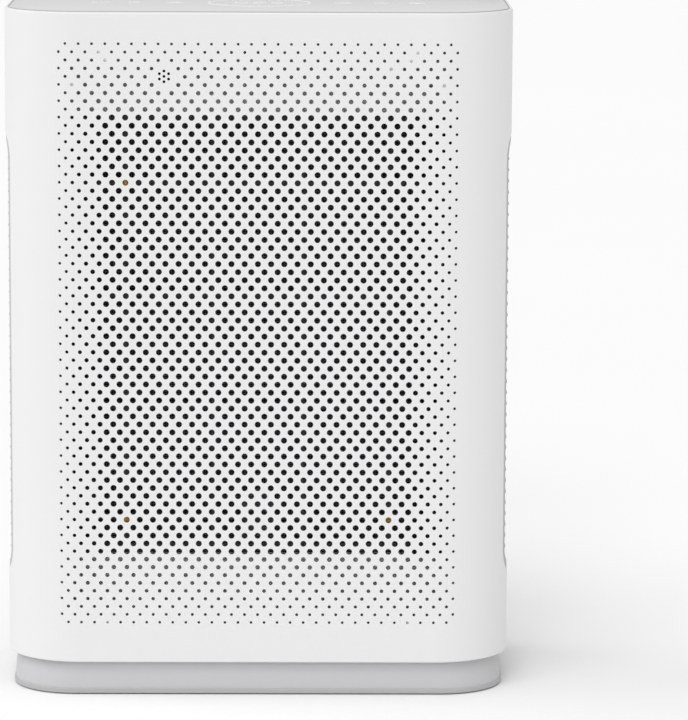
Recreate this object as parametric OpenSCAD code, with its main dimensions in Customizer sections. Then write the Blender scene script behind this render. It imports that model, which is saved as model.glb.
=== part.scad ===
// Free-standing air purifier: perforated pull-off front, two filter stages and a fan that blows out sideways.
// X runs to the right, Y towards the back and Z up. The origin is on the floor, under the body's middle.

/* [Body] */
// Width of the body
body_w = 388; // [382:1:392]
// Depth of the body
body_d = 190; // [188:1:200]
// Height of the body's top edge above the floor
body_h = 525.5; // [522:0.5:530]
// Height of the body's lower edge above the floor
body_z = 25.4; // [24:0.1:27]
// Radius of the body's upright corners
corner_r = 58; // [54:1:60]
// Thickness of the outer shells
wall = 2.5; // [2.2:0.1:2.8]

/* [Front cover] */
// Spacing of the grille holes along a row
hole_pitch = 10; // [9.8:0.1:10]
// Height of the highest row of grille holes
top_row_z = 501.1; // [498:0.1:502]
// Diameter of the grille holes away from the edges
hole_d = 4.65; // [4:0.05:5]

/* [Side vents] */
// Length of each vent, front to back
vent_l = 89; // [80:1:90]
// Height of each vent
vent_h = 342; // [330:1:342]
// Height of a vent's lower end above the floor
vent_z = 88; // [86:1:92]

/* [Filters] */
// Width of the filter opening
bay_w = 307; // [300:1:307]
// Height of the filter opening
bay_h = 340; // [334:1:340]
// Height of the filter opening's lower edge
bay_z = 108; // [106:1:110]

/* [Fan] */
// Radius of the impeller
fan_r = 105; // [98:1:105]
// Number of impeller blades
blades = 30; // [24:1:36]
// Radius of the motor shaft
shaft_r = 4; // [4:0.5:5]

/* [Plinth] */
// Width of the lip that stands on the floor
lip_w = 379.6; // [374:0.2:380]
// Depth of the lip
lip_d = 188; // [184:0.5:188]
// Corner radius of the lip
lip_r = 49; // [46:1:50]

/* [Hidden] */
$fn = 96;
white = "whitesmoke";
eps = 1;
gap = 0.3;
front_y = -body_d / 2;
back_y = body_d / 2;
inner_front_y = front_y + wall;
inner_back_y = back_y - wall;
seam_y = front_y + corner_r;

// Front plate of the filter bay, and the bulkhead that the fan breathes through
plate_y = front_y + 9;
bulkhead_y = front_y + 66;
plate_w = 314;
deck_z = body_h - 11.5;
plate_z = body_z + 6.6;
plate_h = deck_z - gap - plate_z;
bay_mid_z = bay_z + bay_h / 2;

// Grille: rows this far apart, every second row moved half a pitch sideways; each third hole is drilled here
row_gap = 0.6167 * hole_pitch;
last_row = 72;
hole_step = 3;
sensor_x = -70.9;
sensor_z = top_row_z - 24.4;
sensor_ring_r = 4;
sensor_hole_d = 2.2;

// Fasteners and stations shared by several parts
peg_x = 140;
peg_z = [70, 470];
magnet_x = 118;
magnet_z = [52, 492];
switch_x = 100;
switch_z = 480;
post_x = 150;
post_z = [52, 495];
vent_mid_y = front_y + 36 + vent_l / 2;
vent_mid_z = vent_z + vent_h / 2;
vent_r = 20;
stud_x = 101;
stud_z = [136, 395];
prefilter_y = front_y + 19;
hepa_y = front_y + 27.5;
hepa_back_y = bulkhead_y - 1;
pleats = 48;
fan_z = bay_mid_z;
impeller_y = -17;
impeller_l = 39.5;
housing_y = 28;
motor_plate_y = 33;
motor_y = 36;
motor_l = 34;
motor_r = 42;
bearing_r = 9;
bearing_l = 5;
rotor_clear = 0.05;
damper_r = 50;
handle_z = 455;
handle_w = 140;
handle_h = 42;
handle_l = 32;
board_y = inner_back_y - 8;
inlet_x = 112;
inlet_z = 62;
inlet_w = 28;
inlet_h = 22;
neck_inset = 21.5;
skirt_top_z = 18;
lip_z = 0.8;
lip_h = 4;
foot_x = 145;
foot_y = 62;

// Rounded outline, centred
module rounded(w, d, r) {
  square([w - 2 * r, d], center = true);
  square([w, d - 2 * r], center = true);
  for (x = [-1, 1], y = [-1, 1]) translate([x * (w / 2 - r), y * (d / 2 - r)]) circle(r);
}

// The body's outline, drawn in by an inset
module plan(inset = 0) {
  rounded(body_w - 2 * inset, body_d - 2 * inset, corner_r - inset);
}

// Flat plate facing the front: lies in X and Z, its front face at y, t thick
module front_plate(y, t) {
  translate([0, y + t, 0]) rotate([90, 0, 0]) linear_extrude(t) children();
}

// Round bar along Y from y, l long
module bar(x, y, z, r, l) {
  translate([x, y, z]) rotate([-90, 0, 0]) cylinder(r = r, h = l);
}

// Ring round an axis along Y
module ring(x, y, z, r_out, r_in, l) {
  difference() {
    bar(x, y, z, r_out, l);
    bar(x, y - eps, z, r_in, l + 2 * eps);
  }
}

// Outline of a side vent, as a block that reaches through one side wall
module vent_block(side, grow, x_in) {
  translate([side > 0 ? x_in : -body_w / 2 - eps, vent_mid_y, vent_mid_z])
    rotate([90, 0, 90]) linear_extrude(body_w / 2 + eps - x_in)
      rounded(vent_l + 2 * grow, vent_h + 2 * grow, vent_r + grow);
}

module hole_row(row) {
  odd = row % 2;
  for (c = [-15 + (1 - odd) * 1.5 : hole_step : 15]) {
    ends = min(2.1 + 0.22 * min(row, last_row - row), hole_d);
    sides = min(2.2 + 0.57 * (15 - abs(c)), hole_d);
    translate([c * hole_pitch, top_row_z - row * row_gap]) circle(d = min(ends, sides), $fn = 16);
  }
}

module front_cover() color(white) {
  difference() {
    translate([0, 0, body_z]) linear_extrude(body_h - body_z) difference() {
      plan();
      plan(wall);
      translate([-body_w, seam_y]) square([2 * body_w, body_d]);
    }
    for (side = [-1, 1]) vent_block(side, 0, body_w / 2 - 14);
    front_plate(front_y - eps, 9) {
      for (row = [0 : hole_step : last_row]) hole_row(row);
      translate([sensor_x, sensor_z]) {
        circle(d = sensor_hole_d, $fn = 16);
        for (a = [30 : 60 : 330]) rotate(a) translate([sensor_ring_r, 0]) circle(d = sensor_hole_d, $fn = 16);
      }
    }
  }
  for (x = [-peg_x, peg_x], z = peg_z) bar(x, inner_front_y - 0.2, z, 3, 15);
  bar(switch_x, inner_front_y - 0.2, switch_z, 4, 3.4);
}

module cover_magnets() color("dimgray")
  for (x = [-magnet_x, magnet_x], z = magnet_z) bar(x, inner_front_y, z, 6, 3);

module catch_plates() color("silver")
  for (x = [-magnet_x, magnet_x], z = magnet_z) bar(x, plate_y - 3, z, 7, 3);

module filter_bay() color(white) difference() {
  union() {
    translate([-plate_w / 2, plate_y, plate_z]) cube([plate_w, wall, plate_h]);
    translate([-bay_w / 2 - wall, plate_y, bay_z - wall])
      cube([bay_w + 2 * wall, bulkhead_y - plate_y, bay_h + 2 * wall]);
    translate([-body_w / 2 + wall + gap, bulkhead_y, plate_z])
      cube([body_w - 2 * wall - 2 * gap, wall, plate_h]);
  }
  translate([-bay_w / 2, plate_y - eps, bay_z]) cube([bay_w, bulkhead_y - plate_y + eps, bay_h]);
  for (side = [-1, 1])
    translate([side * (body_w / 2 - wall - 2 - gap + 5), bulkhead_y + wall / 2, vent_mid_z])
      cube([10, wall + 2 * eps, vent_h + 8 + 2 * gap], center = true);
  bar(0, bulkhead_y - eps, fan_z, 90, wall + 2 * eps);
  for (x = [-peg_x, peg_x], z = peg_z) bar(x, plate_y - eps, z, 3.4, wall + 2 * eps);
  for (x = [-post_x, post_x], z = post_z) bar(x, bulkhead_y - eps, z, 2, wall + 2 * eps);
  bar(sensor_x, plate_y - eps, sensor_z, 6, wall + 2 * eps);
  bar(switch_x, plate_y - eps, switch_z, 2.8, wall + 2 * eps);
}

module rear_shell() color(white) {
  difference() {
    union() {
      translate([0, 0, body_z]) linear_extrude(body_h - body_z) difference() {
        plan();
        plan(wall);
        translate([-body_w, seam_y + gap - 2 * body_d]) square([2 * body_w, 2 * body_d]);
      }
      intersection() {
        for (x = [-post_x, post_x], z = post_z) bar(x, bulkhead_y + wall, z, 7, body_d);
        linear_extrude(body_h) plan(wall / 2);
      }
      for (x = [-60, 60], z = [50, 100]) bar(x, board_y + 1.6, z, 3.5, inner_back_y - board_y - 1);
    }
    for (side = [-1, 1]) vent_block(side, 0, body_w / 2 - 14);
    for (x = [-post_x, post_x], z = post_z) {
      bar(x, bulkhead_y, z, 2.1, 12);
      bar(x, bulkhead_y + 9, z, 4.5, body_d);
    }
    translate([0, 0, handle_z]) front_plate(inner_back_y - eps, wall + 2 * eps)
      rounded(handle_w, handle_h, 14);
    translate([inlet_x, 0, inlet_z]) front_plate(inner_back_y - eps, wall + 2 * eps)
      square([inlet_w + 0.4, inlet_h + 0.4], center = true);
  }
}

module shell_screws() color("gray") for (x = [-post_x, post_x], z = post_z) {
  bar(x, bulkhead_y - 4, z, 1.9, 14);
  difference() {
    bar(x, bulkhead_y + 9, z, 4, 3);
    bar(x, bulkhead_y + 10.5, z, 1.5, 3);
  }
}

// Outer skin of a vent, let 1 mm into the body, with a flange behind the shells and sloping slots cut through
module side_vent(side) color("darkgray") {
  slots = 29;
  slot_h = 6;
  slot_gap = 11;
  first_slot_z = vent_mid_z - (slots - 1) / 2 * slot_gap - slot_h / 2;
  difference() {
    union() {
      intersection() {
        translate([0, 0, vent_z - 10]) linear_extrude(vent_h + 20) difference() {
          plan(0.5);
          plan(wall + 0.9);
        }
        vent_block(side, -gap, body_w / 2 - 14);
      }
      intersection() {
        translate([0, 0, vent_z - 10]) linear_extrude(vent_h + 20) difference() {
          plan(wall + gap);
          plan(wall + 2);
        }
        vent_block(side, 4, body_w / 2 - 14);
      }
    }
    for (i = [0 : slots - 1], y = [vent_mid_y - 38, vent_mid_y + 2])
      translate([side > 0 ? body_w / 2 - 20 : -body_w / 2 - eps, y, first_slot_z + i * slot_gap])
        cube([20 + eps, 36, slot_h]);
  }
}

module vent_left() side_vent(-1);

module vent_right() side_vent(1);

module top_deck() color(white) {
  translate([0, 0, deck_z]) linear_extrude(wall) difference() {
    plan(wall + 0.5);
    for (x = [-80, 80]) translate([x, 0]) square([40, 12], center = true);
  }
  translate([0, 0, deck_z + wall]) linear_extrude(5.5) difference() {
    plan(wall + 0.5);
    plan(wall + 4);
  }
  for (x = [-150, 0, 150], y = [-22, 22]) translate([x, y, deck_z + wall]) cylinder(r = 3, h = 1.5);
}

module control_plate() color("gainsboro")
  translate([0, 0, deck_z + wall + 5.5]) linear_extrude(3.2) plan(wall + 0.6);

module control_board() color("darkgreen")
  translate([-165, -30, deck_z + wall + 1.5]) cube([330, 60, 1.6]);

module touch_springs() color("silver") for (x = [-122, -94, -65, 65, 94, 122])
  translate([x, 0, deck_z + wall + 3.1]) cylinder(r = 5, h = 2.4);

module display_ring() color("white") translate([0, 0, deck_z + wall + 3.1]) linear_extrude(2.4) difference() {
  circle(26);
  circle(22);
}

module dust_sensor() color("dimgray") difference() {
  translate([sensor_x - 23, plate_y + wall, sensor_z - 17]) cube([46, 18, 34]);
  bar(sensor_x, plate_y + wall - eps, sensor_z, 5.5, 8);
}

module sensor_gasket() color("black") ring(sensor_x, inner_front_y + gap, sensor_z, 8.5, 5.8, 6.2);

module interlock_switch() color("dimgray") difference() {
  translate([switch_x - 10, plate_y + wall, switch_z - 6]) cube([20, 14, 12]);
  bar(switch_x, plate_y + wall - eps, switch_z, 2.6, 12);
}

module interlock_plunger() color("orange") bar(switch_x, inner_front_y + 3.5, switch_z, 2.5, 13);

module prefilter_frame() color("dimgray") translate([0, 0, bay_mid_z]) {
  w = bay_w - 1.2;
  h = bay_h - 1.2;
  front_plate(prefilter_y, 5) difference() {
    square([w, h], center = true);
    difference() {
      square([w - 14, h - 14], center = true);
      for (i = [-1.5 : 1.5]) translate([i * stud_x / 1.5, 0]) square([5, h], center = true);
      for (i = [0 : 3]) translate([0, stud_z[0] - bay_mid_z + i * (stud_z[1] - stud_z[0]) / 3])
        square([w, 5], center = true);
    }
  }
  front_plate(prefilter_y + 5, 1) difference() {
    square([w, h], center = true);
    square([w - 14, h - 14], center = true);
  }
}

module prefilter_mesh() color("black") translate([0, 0, bay_mid_z])
  front_plate(prefilter_y + 5.05, 0.9) square([bay_w - 15.6, bay_h - 15.6], center = true);

module filter_studs() color("goldenrod")
  for (p = [[-stud_x, stud_z[0]], [stud_x, stud_z[0]], [-stud_x, stud_z[1]]])
    bar(p[0], prefilter_y - 1.2, p[1], 4.5, 1.2);

module hepa_frame() color("gainsboro") translate([0, 0, bay_mid_z])
  front_plate(hepa_y, hepa_back_y - hepa_y) difference() {
    square([bay_w - 2, bay_h - 2], center = true);
    square([bay_w - 12, bay_h - 12], center = true);
  }

module carbon_pad() color("black") translate([0, 0, bay_mid_z])
  front_plate(hepa_y + 0.4, 2.6) square([bay_w - 12.4, bay_h - 12.4], center = true);

// One folded sheet: the zigzag's two sides, with the pleats running upright
module hepa_pleats() color("white") {
  w = bay_w - 13;
  step = w / pleats;
  y0 = hepa_y + 3.2;
  y1 = hepa_back_y - 1.5;
  t = 0.8;
  front = [for (i = [0 : pleats]) [-w / 2 + i * step, i % 2 == 0 ? y0 : y1 - t]];
  back = [for (i = [pleats : -1 : 0]) [-w / 2 + i * step, i % 2 == 0 ? y0 + t : y1]];
  translate([0, 0, bay_z + 6.5]) linear_extrude(bay_h - 13) polygon(concat(front, back));
}

module hepa_seal() color("slategray") translate([0, 0, bay_mid_z])
  front_plate(hepa_back_y, 0.9) difference() {
    square([bay_w - 2, bay_h - 2], center = true);
    square([bay_w - 12, bay_h - 12], center = true);
  }

module pull_tab() color("gray") translate([0, 0, bay_z + 1.5]) front_plate(hepa_y - 1, 1) translate([0, 24])
  rounded(26, 46, 8);

module finger_guard() color("dimgray") translate([0, 0, fan_z]) front_plate(bulkhead_y + gap, 2)
  for (z = [-60 : 30 : 60]) {
    half = sqrt(89.8 * 89.8 - (abs(z) + 1.2) * (abs(z) + 1.2));
    translate([-half, z - 1.2]) square([2 * half, 2.4]);
  }

// Bellmouth that leads the air into the impeller's eye
module inlet_ring() color("gainsboro") translate([0, bulkhead_y + wall, fan_z]) rotate([-90, 0, 0])
  rotate_extrude() polygon([[96, 0], [90, 0], [84, 3], [80, 8], [82, 8], [86, 4.5], [91, 2], [96, 2]]);

// Curved walls above and below the impeller, and the plate that carries the motor; both sides stay open
module fan_housing() color("gainsboro") {
  difference() {
    translate([-150, housing_y, fan_z - 150]) cube([300, wall, 300]);
    bar(0, housing_y - eps, fan_z, 14, wall + 2 * eps);
    for (a = [45 : 90 : 315])
      bar(damper_r * cos(a), housing_y - eps, fan_z + damper_r * sin(a), 2.2, wall + 2 * eps);
  }
  for (up = [-1, 1]) translate([0, housing_y, fan_z]) rotate([90, 0, 0])
    linear_extrude(housing_y - bulkhead_y - wall - gap) intersection() {
      difference() {
        circle(124.5);
        circle(122);
      }
      polygon([[0, 0], [-180, up * 126], [180, up * 126]]);
    }
}

module impeller() color("lightsteelblue") {
  ring(0, impeller_y + impeller_l - 2.5, fan_z, fan_r, 7, 2.5);
  ring(0, impeller_y, fan_z, fan_r, fan_r - 21, 2);
  ring(0, impeller_y + 10, fan_z, 22, 7, impeller_l - 12);
  for (i = [0 : blades - 1]) translate([0, impeller_y + 1, fan_z]) rotate([0, i * 360 / blades, 0])
    translate([fan_r - 21, 0, -4]) rotate([0, -38, 0]) cube([22, impeller_l - 2.5, 1.2]);
}

module hub_insert() color("goldenrod") ring(0, impeller_y + 9, fan_z, 7, shaft_r, impeller_l - 9);

module shaft_nut() color("silver") difference() {
  translate([0, impeller_y + 3, fan_z]) rotate([-90, 0, 0]) cylinder(r = 8, h = 6, $fn = 6);
  bar(0, impeller_y + 2, fan_z, shaft_r, 8);
}

module motor_shaft() color("silver")
  bar(0, impeller_y + 1, fan_z, shaft_r, motor_y + motor_l - impeller_y + 1);

module rotor_core() color("gray") ring(0, motor_y + 8, fan_z, 24, shaft_r, motor_l - 16);

module motor_case() color("silver") difference() {
  bar(0, motor_y, fan_z, motor_r, motor_l);
  bar(0, motor_y + 6, fan_z, motor_r - 3, motor_l - 12);
  bar(0, motor_y - eps, fan_z, bearing_r, motor_l + 2 * eps);
}

module stator() color("peru") ring(0, motor_y + 8, fan_z, motor_r - 3, 24.6, motor_l - 16);

module bearing(y) color("silver") ring(0, y, fan_z, bearing_r, shaft_r + rotor_clear, bearing_l);

module front_bearing() bearing(motor_y);

module rear_bearing() bearing(motor_y + motor_l - bearing_l);

module motor_plate() color("silver") difference() {
  bar(0, motor_plate_y, fan_z, 60, motor_y - motor_plate_y);
  bar(0, motor_plate_y - eps, fan_z, 12, 5);
  for (a = [45 : 90 : 315]) bar(damper_r * cos(a), motor_plate_y - eps, fan_z + damper_r * sin(a), 2.2, 5);
}

module motor_dampers() color("black") for (a = [45 : 90 : 315]) {
  y = housing_y + wall;
  ring(damper_r * cos(a), y, fan_z + damper_r * sin(a), 6, 2.2, motor_plate_y - y);
}

module motor_screws() color("gray") for (a = [45 : 90 : 315]) {
  x = damper_r * cos(a);
  z = fan_z + damper_r * sin(a);
  bar(x, housing_y - 2, z, 2, 10);
  bar(x, motor_y, z, 4, 3);
}

module handle_pocket() color(white) translate([0, 0, handle_z]) difference() {
  front_plate(inner_back_y - handle_l, handle_l) rounded(handle_w + 8, handle_h + 8, 18);
  front_plate(inner_back_y - handle_l + wall, handle_l) rounded(handle_w, handle_h, 14);
}

module power_inlet() color("black") translate([inlet_x, 0, inlet_z]) difference() {
  union() {
    front_plate(back_y - 24, 24) square([inlet_w, inlet_h], center = true);
    front_plate(inner_back_y - 2, 2) square([inlet_w + 14, inlet_h], center = true);
  }
  front_plate(back_y - 18, 18 + eps) rounded(22, 14, 4);
}

module inlet_pins() color("silver")
  for (x = [inlet_x - 6, inlet_x + 6]) bar(x, back_y - 18, inlet_z, 1.6, 13);

module power_board() color("darkgreen") translate([-70, board_y, 44]) cube([140, 1.6, 62]);

module board_parts() color("dimgray") {
  translate([-50, board_y - 26, 56]) cube([36, 26, 36]);
  for (x = [4, 26]) bar(x, board_y - 24, 74, 9, 24);
  translate([42, board_y - 10, 60]) cube([12, 10, 30]);
}

// Floor of the body, the neck under it and the posts that the plinth's screws go into
module base_tray() color(white) difference() {
  union() {
    translate([0, 0, body_z]) linear_extrude(wall) plan(wall + gap);
    translate([0, 0, skirt_top_z]) linear_extrude(body_z - skirt_top_z) difference() {
      plan(neck_inset);
      plan(neck_inset + wall);
    }
    at_base_screws() translate([0, 0, 4.2]) cylinder(r = 5, h = body_z - 4.2);
  }
  at_base_screws() cylinder(r = 2.05, h = 16);
}

module at_base_screws() for (x = [-100, 100], y = [-foot_y, foot_y]) translate([x, y, 0]) children();

// Solid that narrows from the lip's outline to the neck's
module skirt_solid(inset, top_z) hull() {
  low = 2 + 2 * inset;
  high = 2 * neck_inset + 2 * inset;
  translate([0, 0, lip_z + lip_h]) linear_extrude(0.1)
    rounded(lip_w - low, lip_d - low, lip_r - low / 2, $fn = 32);
  translate([0, 0, top_z - 0.1]) linear_extrude(0.1)
    rounded(body_w - high, body_d - high, corner_r - high / 2, $fn = 32);
}

module plinth_skirt() color(white) difference() {
  skirt_solid(0, skirt_top_z);
  translate([0, 0, -0.05]) skirt_solid(wall, skirt_top_z + 0.1);
}

module base_lip() color("lightgray") translate([0, 0, lip_z]) linear_extrude(lip_h) difference() {
  rounded(lip_w, lip_d, lip_r);
  rounded(lip_w - 24, lip_d - 24, lip_r - 12);
}

module bottom_plate() color("lightgray") difference() {
  translate([0, 0, 1.5]) linear_extrude(2.6) rounded(lip_w - 24.4, lip_d - 24.4, lip_r - 12.2);
  at_base_screws() cylinder(r = 2.2, h = 6);
}

module rubber_feet() color("black") for (x = [-foot_x, foot_x], y = [-foot_y, foot_y])
  translate([x, y, 0]) cylinder(r = 10, h = 1.5);

module base_screws() color("gray") at_base_screws() translate([0, 0, 0.6]) {
  cylinder(r = 4, h = 0.9);
  cylinder(r = 2, h = 12);
}

front_cover();
cover_magnets();
filter_bay();
catch_plates();
rear_shell();
shell_screws();
vent_left();
vent_right();
top_deck();
control_plate();
control_board();
touch_springs();
display_ring();
dust_sensor();
sensor_gasket();
interlock_switch();
interlock_plunger();
prefilter_frame();
prefilter_mesh();
filter_studs();
hepa_frame();
carbon_pad();
hepa_pleats();
hepa_seal();
pull_tab();
finger_guard();
inlet_ring();
fan_housing();
impeller();
hub_insert();
shaft_nut();
motor_shaft();
rotor_core();
motor_case();
stator();
front_bearing();
rear_bearing();
motor_plate();
motor_dampers();
motor_screws();
handle_pocket();
power_inlet();
inlet_pins();
power_board();
board_parts();
base_tray();
plinth_skirt();
base_lip();
bottom_plate();
rubber_feet();
base_screws();
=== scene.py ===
"""Looks of an upright air purifier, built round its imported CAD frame."""

import logging
import math
from collections.abc import Callable, Sequence
from dataclasses import dataclass, field
from enum import Enum

import bpy
import numpy as np
from mathutils import Matrix, Vector
from mathutils.geometry import delaunay_2d_cdt


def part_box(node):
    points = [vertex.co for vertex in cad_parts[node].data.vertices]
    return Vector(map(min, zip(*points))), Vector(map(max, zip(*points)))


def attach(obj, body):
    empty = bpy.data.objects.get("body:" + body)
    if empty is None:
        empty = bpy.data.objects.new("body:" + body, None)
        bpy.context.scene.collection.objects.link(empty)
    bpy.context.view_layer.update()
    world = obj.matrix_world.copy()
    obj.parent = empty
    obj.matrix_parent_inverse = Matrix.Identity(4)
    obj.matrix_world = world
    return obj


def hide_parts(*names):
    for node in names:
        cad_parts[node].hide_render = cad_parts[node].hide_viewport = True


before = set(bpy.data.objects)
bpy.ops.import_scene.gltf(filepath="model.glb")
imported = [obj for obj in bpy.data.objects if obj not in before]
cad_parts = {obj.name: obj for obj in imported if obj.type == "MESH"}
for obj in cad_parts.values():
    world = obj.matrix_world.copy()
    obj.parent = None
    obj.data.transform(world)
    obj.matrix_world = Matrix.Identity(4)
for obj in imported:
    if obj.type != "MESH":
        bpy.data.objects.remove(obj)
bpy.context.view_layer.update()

MM = 0.001
SHELL_WALL = 2.5 * MM
CORNER_RADIUS = 58 * MM
RIM_DROP = 0.8 * MM
VENT_FLANGE = 4 * MM
VENT_GAP = 0.3 * MM
LOG = logging.getLogger("purifier")

Point2 = tuple[float, float]
Point3 = tuple[float, float, float]
Place = Callable[[float, float, float], Point3]


# ---------------------------------------------------------------- shader graphs


class Signal:
    """A shader socket whose arithmetic adds Math nodes."""

    def __init__(self, shader: "Shader", socket: bpy.types.NodeSocket) -> None:
        """Wraps one output socket of a shader's graph."""
        self.shader = shader
        self.socket = socket

    def _math(self, operation: str, first: "Signal | float", second: "Signal | float") -> "Signal":
        """Adds one Math node.

        Args:
            operation: The Math node's operation.
            first: Its first value.
            second: Its second value.

        Returns:
            The node's result.
        """
        return self.shader.node("ShaderNodeMath", {"operation": operation}, {0: first, 1: second})

    def __add__(self, other: "Signal | float") -> "Signal":
        """Sum."""
        return self._math("ADD", self, other)

    __radd__ = __add__

    def __sub__(self, other: "Signal | float") -> "Signal":
        """Difference."""
        return self._math("SUBTRACT", self, other)

    def __rsub__(self, other: "Signal | float") -> "Signal":
        """Reflected difference."""
        return self._math("SUBTRACT", other, self)

    def __mul__(self, other: "Signal | float") -> "Signal":
        """Product."""
        return self._math("MULTIPLY", self, other)

    __rmul__ = __mul__

    def __pow__(self, other: "Signal | float") -> "Signal":
        """Power."""
        return self._math("POWER", self, other)


class Shader:
    """One material's node graph, round a Principled shader."""

    def __init__(self, name: str) -> None:
        """Starts a material with a Principled shader and an output."""
        self.material = bpy.data.materials.new(name)
        self.material.use_nodes = True
        self.tree = self.material.node_tree
        self.tree.nodes.clear()
        self.surface = self.tree.nodes.new("ShaderNodeBsdfPrincipled")
        output = self.tree.nodes.new("ShaderNodeOutputMaterial")
        self.tree.links.new(self.surface.outputs[0], output.inputs[0])

    def node(
        self,
        kind: str,
        settings: dict[str, object] | None = None,
        inputs: dict[str | int, object] | None = None,
        output: str | int = 0,
    ) -> Signal:
        """Adds a node.

        Args:
            kind: The node's type.
            settings: Its properties, which are set first; "stops" is a colour ramp's list.
            inputs: Values or signals of its sockets, by name or number.
            output: The output socket that is returned.

        Returns:
            The chosen output.
        """
        made = self.tree.nodes.new(kind)
        for key, value in (settings or {}).items():
            if key == "stops":
                self._ramp(made, value)
            else:
                setattr(made, key, value)
        for key, value in (inputs or {}).items():
            self._feed(made.inputs[key], value)
        return Signal(self, made.outputs[output])

    def _ramp(self, made: bpy.types.Node, stops: Sequence[tuple[float, tuple[float, ...]]]) -> None:
        """Sets a colour ramp's stops: (place, colour) pairs."""
        elements = made.color_ramp.elements
        while len(elements) < len(stops):
            elements.new(0.5)
        for element, (place, colour) in zip(elements, stops, strict=True):
            element.position = place
            element.color = (*colour[:3], 1.0)

    def _feed(self, socket: bpy.types.NodeSocket, value: object) -> None:
        """Links a signal to a socket, or sets the socket's own value."""
        if isinstance(value, Signal):
            self.tree.links.new(value.socket, socket)
        else:
            socket.default_value = value

    def set(self, **values: object) -> None:
        """Sets or links the Principled shader's sockets, with _ for a space in their names."""
        for key, value in values.items():
            self._feed(self.surface.inputs[key.replace("_", " ")], value)

    def place(self) -> Signal:
        """The point in the object's own metres."""
        return self.node("ShaderNodeTexCoord", output="Object")

    def noise(self, size: float, detail: float = 2.0, stretch: Point3 = (1, 1, 1)) -> Signal:
        """Noise with features of about one size.

        Args:
            size: The features' size in metres.
            detail: Octaves.
            stretch: Scale along X, Y and Z.

        Returns:
            A value from 0 to 1.
        """
        point = self.node("ShaderNodeMapping", None, {"Vector": self.place(), "Scale": stretch})
        inputs = {"Vector": point, "Scale": 1 / size, "Detail": detail, "Roughness": 0.5}
        return self.node("ShaderNodeTexNoise", None, inputs)

    def waves(self, pitch: float, axis: str) -> Signal:
        """Even sine bands across an axis.

        Args:
            pitch: Spacing of the bands in metres.
            axis: X, Y or Z.

        Returns:
            A value from 0 to 1.
        """
        settings = {"wave_type": "BANDS", "bands_direction": axis, "wave_profile": "SIN"}
        scale = math.tau / 20 / pitch
        return self.node("ShaderNodeTexWave", settings, {"Vector": self.place(), "Scale": scale}, "Fac")

    def tint(self, factor: Signal, low: Sequence[float], high: Sequence[float]) -> Signal:
        """A colour between two, as a factor goes from 0 to 1."""
        settings = {"data_type": "RGBA"}
        values = {0: factor, 6: (*low, 1.0), 7: (*high, 1.0)}
        return self.node("ShaderNodeMix", settings, values, output=2)

    def bump(self, height: Signal, depth: float, strength: float = 1.0) -> None:
        """Feeds the Normal socket from a height signal, depth metres deep."""
        inputs = {"Height": height, "Distance": depth, "Strength": strength}
        self.set(Normal=self.node("ShaderNodeBump", None, inputs))


class Grain(Enum):
    """What a finish's surface is like close to."""

    MOULDED = "moulded"
    POLISHED = "polished"
    BRUSHED = "brushed"
    CAST = "cast"
    WOVEN = "woven"
    FELT = "felt"
    PAPER = "paper"
    FOAM = "foam"
    WOUND = "wound"
    BOARD = "board"


@dataclass(frozen=True)
class Finish:
    """One material: its colour, its gloss and the grain of its surface."""

    name: str
    colour: Point3
    grain: Grain
    roughness: float = 0.5
    metallic: float = 0.0
    coat: float = 0.0
    sheen: float = 0.0
    specular: float = 0.5
    mottle: float = 0.03
    size: float = 0.5 * MM
    depth: float = 0.02 * MM

    def material(self) -> bpy.types.Material:
        """Makes this finish's material, once."""
        known = bpy.data.materials.get(self.name)
        if known:
            return known
        shader = Shader(self.name)
        clouds = shader.noise(60 * MM, 3.0)
        dark = tuple(c * (1 - self.mottle) for c in self.colour)
        light = tuple(min(1.0, c * (1 + self.mottle)) for c in self.colour)
        grain = self._grain(shader)
        blend = clouds * 0.6 + grain * 0.4
        shader.set(Base_Color=shader.tint(blend, dark, light), Metallic=self.metallic)
        shader.set(Roughness=self.roughness * (0.88 + 0.24 * grain), Coat_Weight=self.coat)
        shader.set(Sheen_Weight=self.sheen, Specular_IOR_Level=self.specular, Coat_Roughness=0.08)
        shader.bump(grain, self.depth)
        return shader.material

    def _grain(self, shader: Shader) -> Signal:
        """The height of the surface's grain, from 0 to 1.

        Args:
            shader: The graph that the grain is added to.

        Returns:
            The height.
        """
        fine = shader.noise(self.size, 2.0)
        if self.grain is Grain.BRUSHED:
            return shader.noise(self.size, 3.0, (1, 1, 14))
        if self.grain is Grain.WOVEN:
            over = shader.waves(self.size * 2, "X") * shader.waves(self.size * 2, "Z")
            return over * 0.75 + fine * 0.25
        if self.grain is Grain.WOUND:
            return shader.waves(self.size * 2, "Y") * 0.8 + fine * 0.2
        if self.grain is Grain.FELT:
            return shader.noise(self.size * 4, 5.0, (1, 1, 1)) * 0.5 + fine * 0.5
        if self.grain is Grain.PAPER:
            return fine * 0.6 + shader.noise(self.size * 8, 3.0, (1, 1, 0.3)) * 0.4
        if self.grain is Grain.FOAM:
            inputs = {"Vector": shader.place(), "Scale": 1 / self.size}
            cells = shader.node("ShaderNodeTexVoronoi", None, inputs, "Distance")
            return cells * 0.8 + fine * 0.2
        if self.grain is Grain.BOARD:
            return shader.waves(self.size * 6, "X") ** 6.0 * 0.4 + fine * 0.3
        if self.grain is Grain.CAST:
            return fine * 0.6 + shader.noise(self.size * 6, 2.0) * 0.4
        return fine * 0.7 + shader.noise(self.size * 30, 1.0) * 0.3


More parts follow.
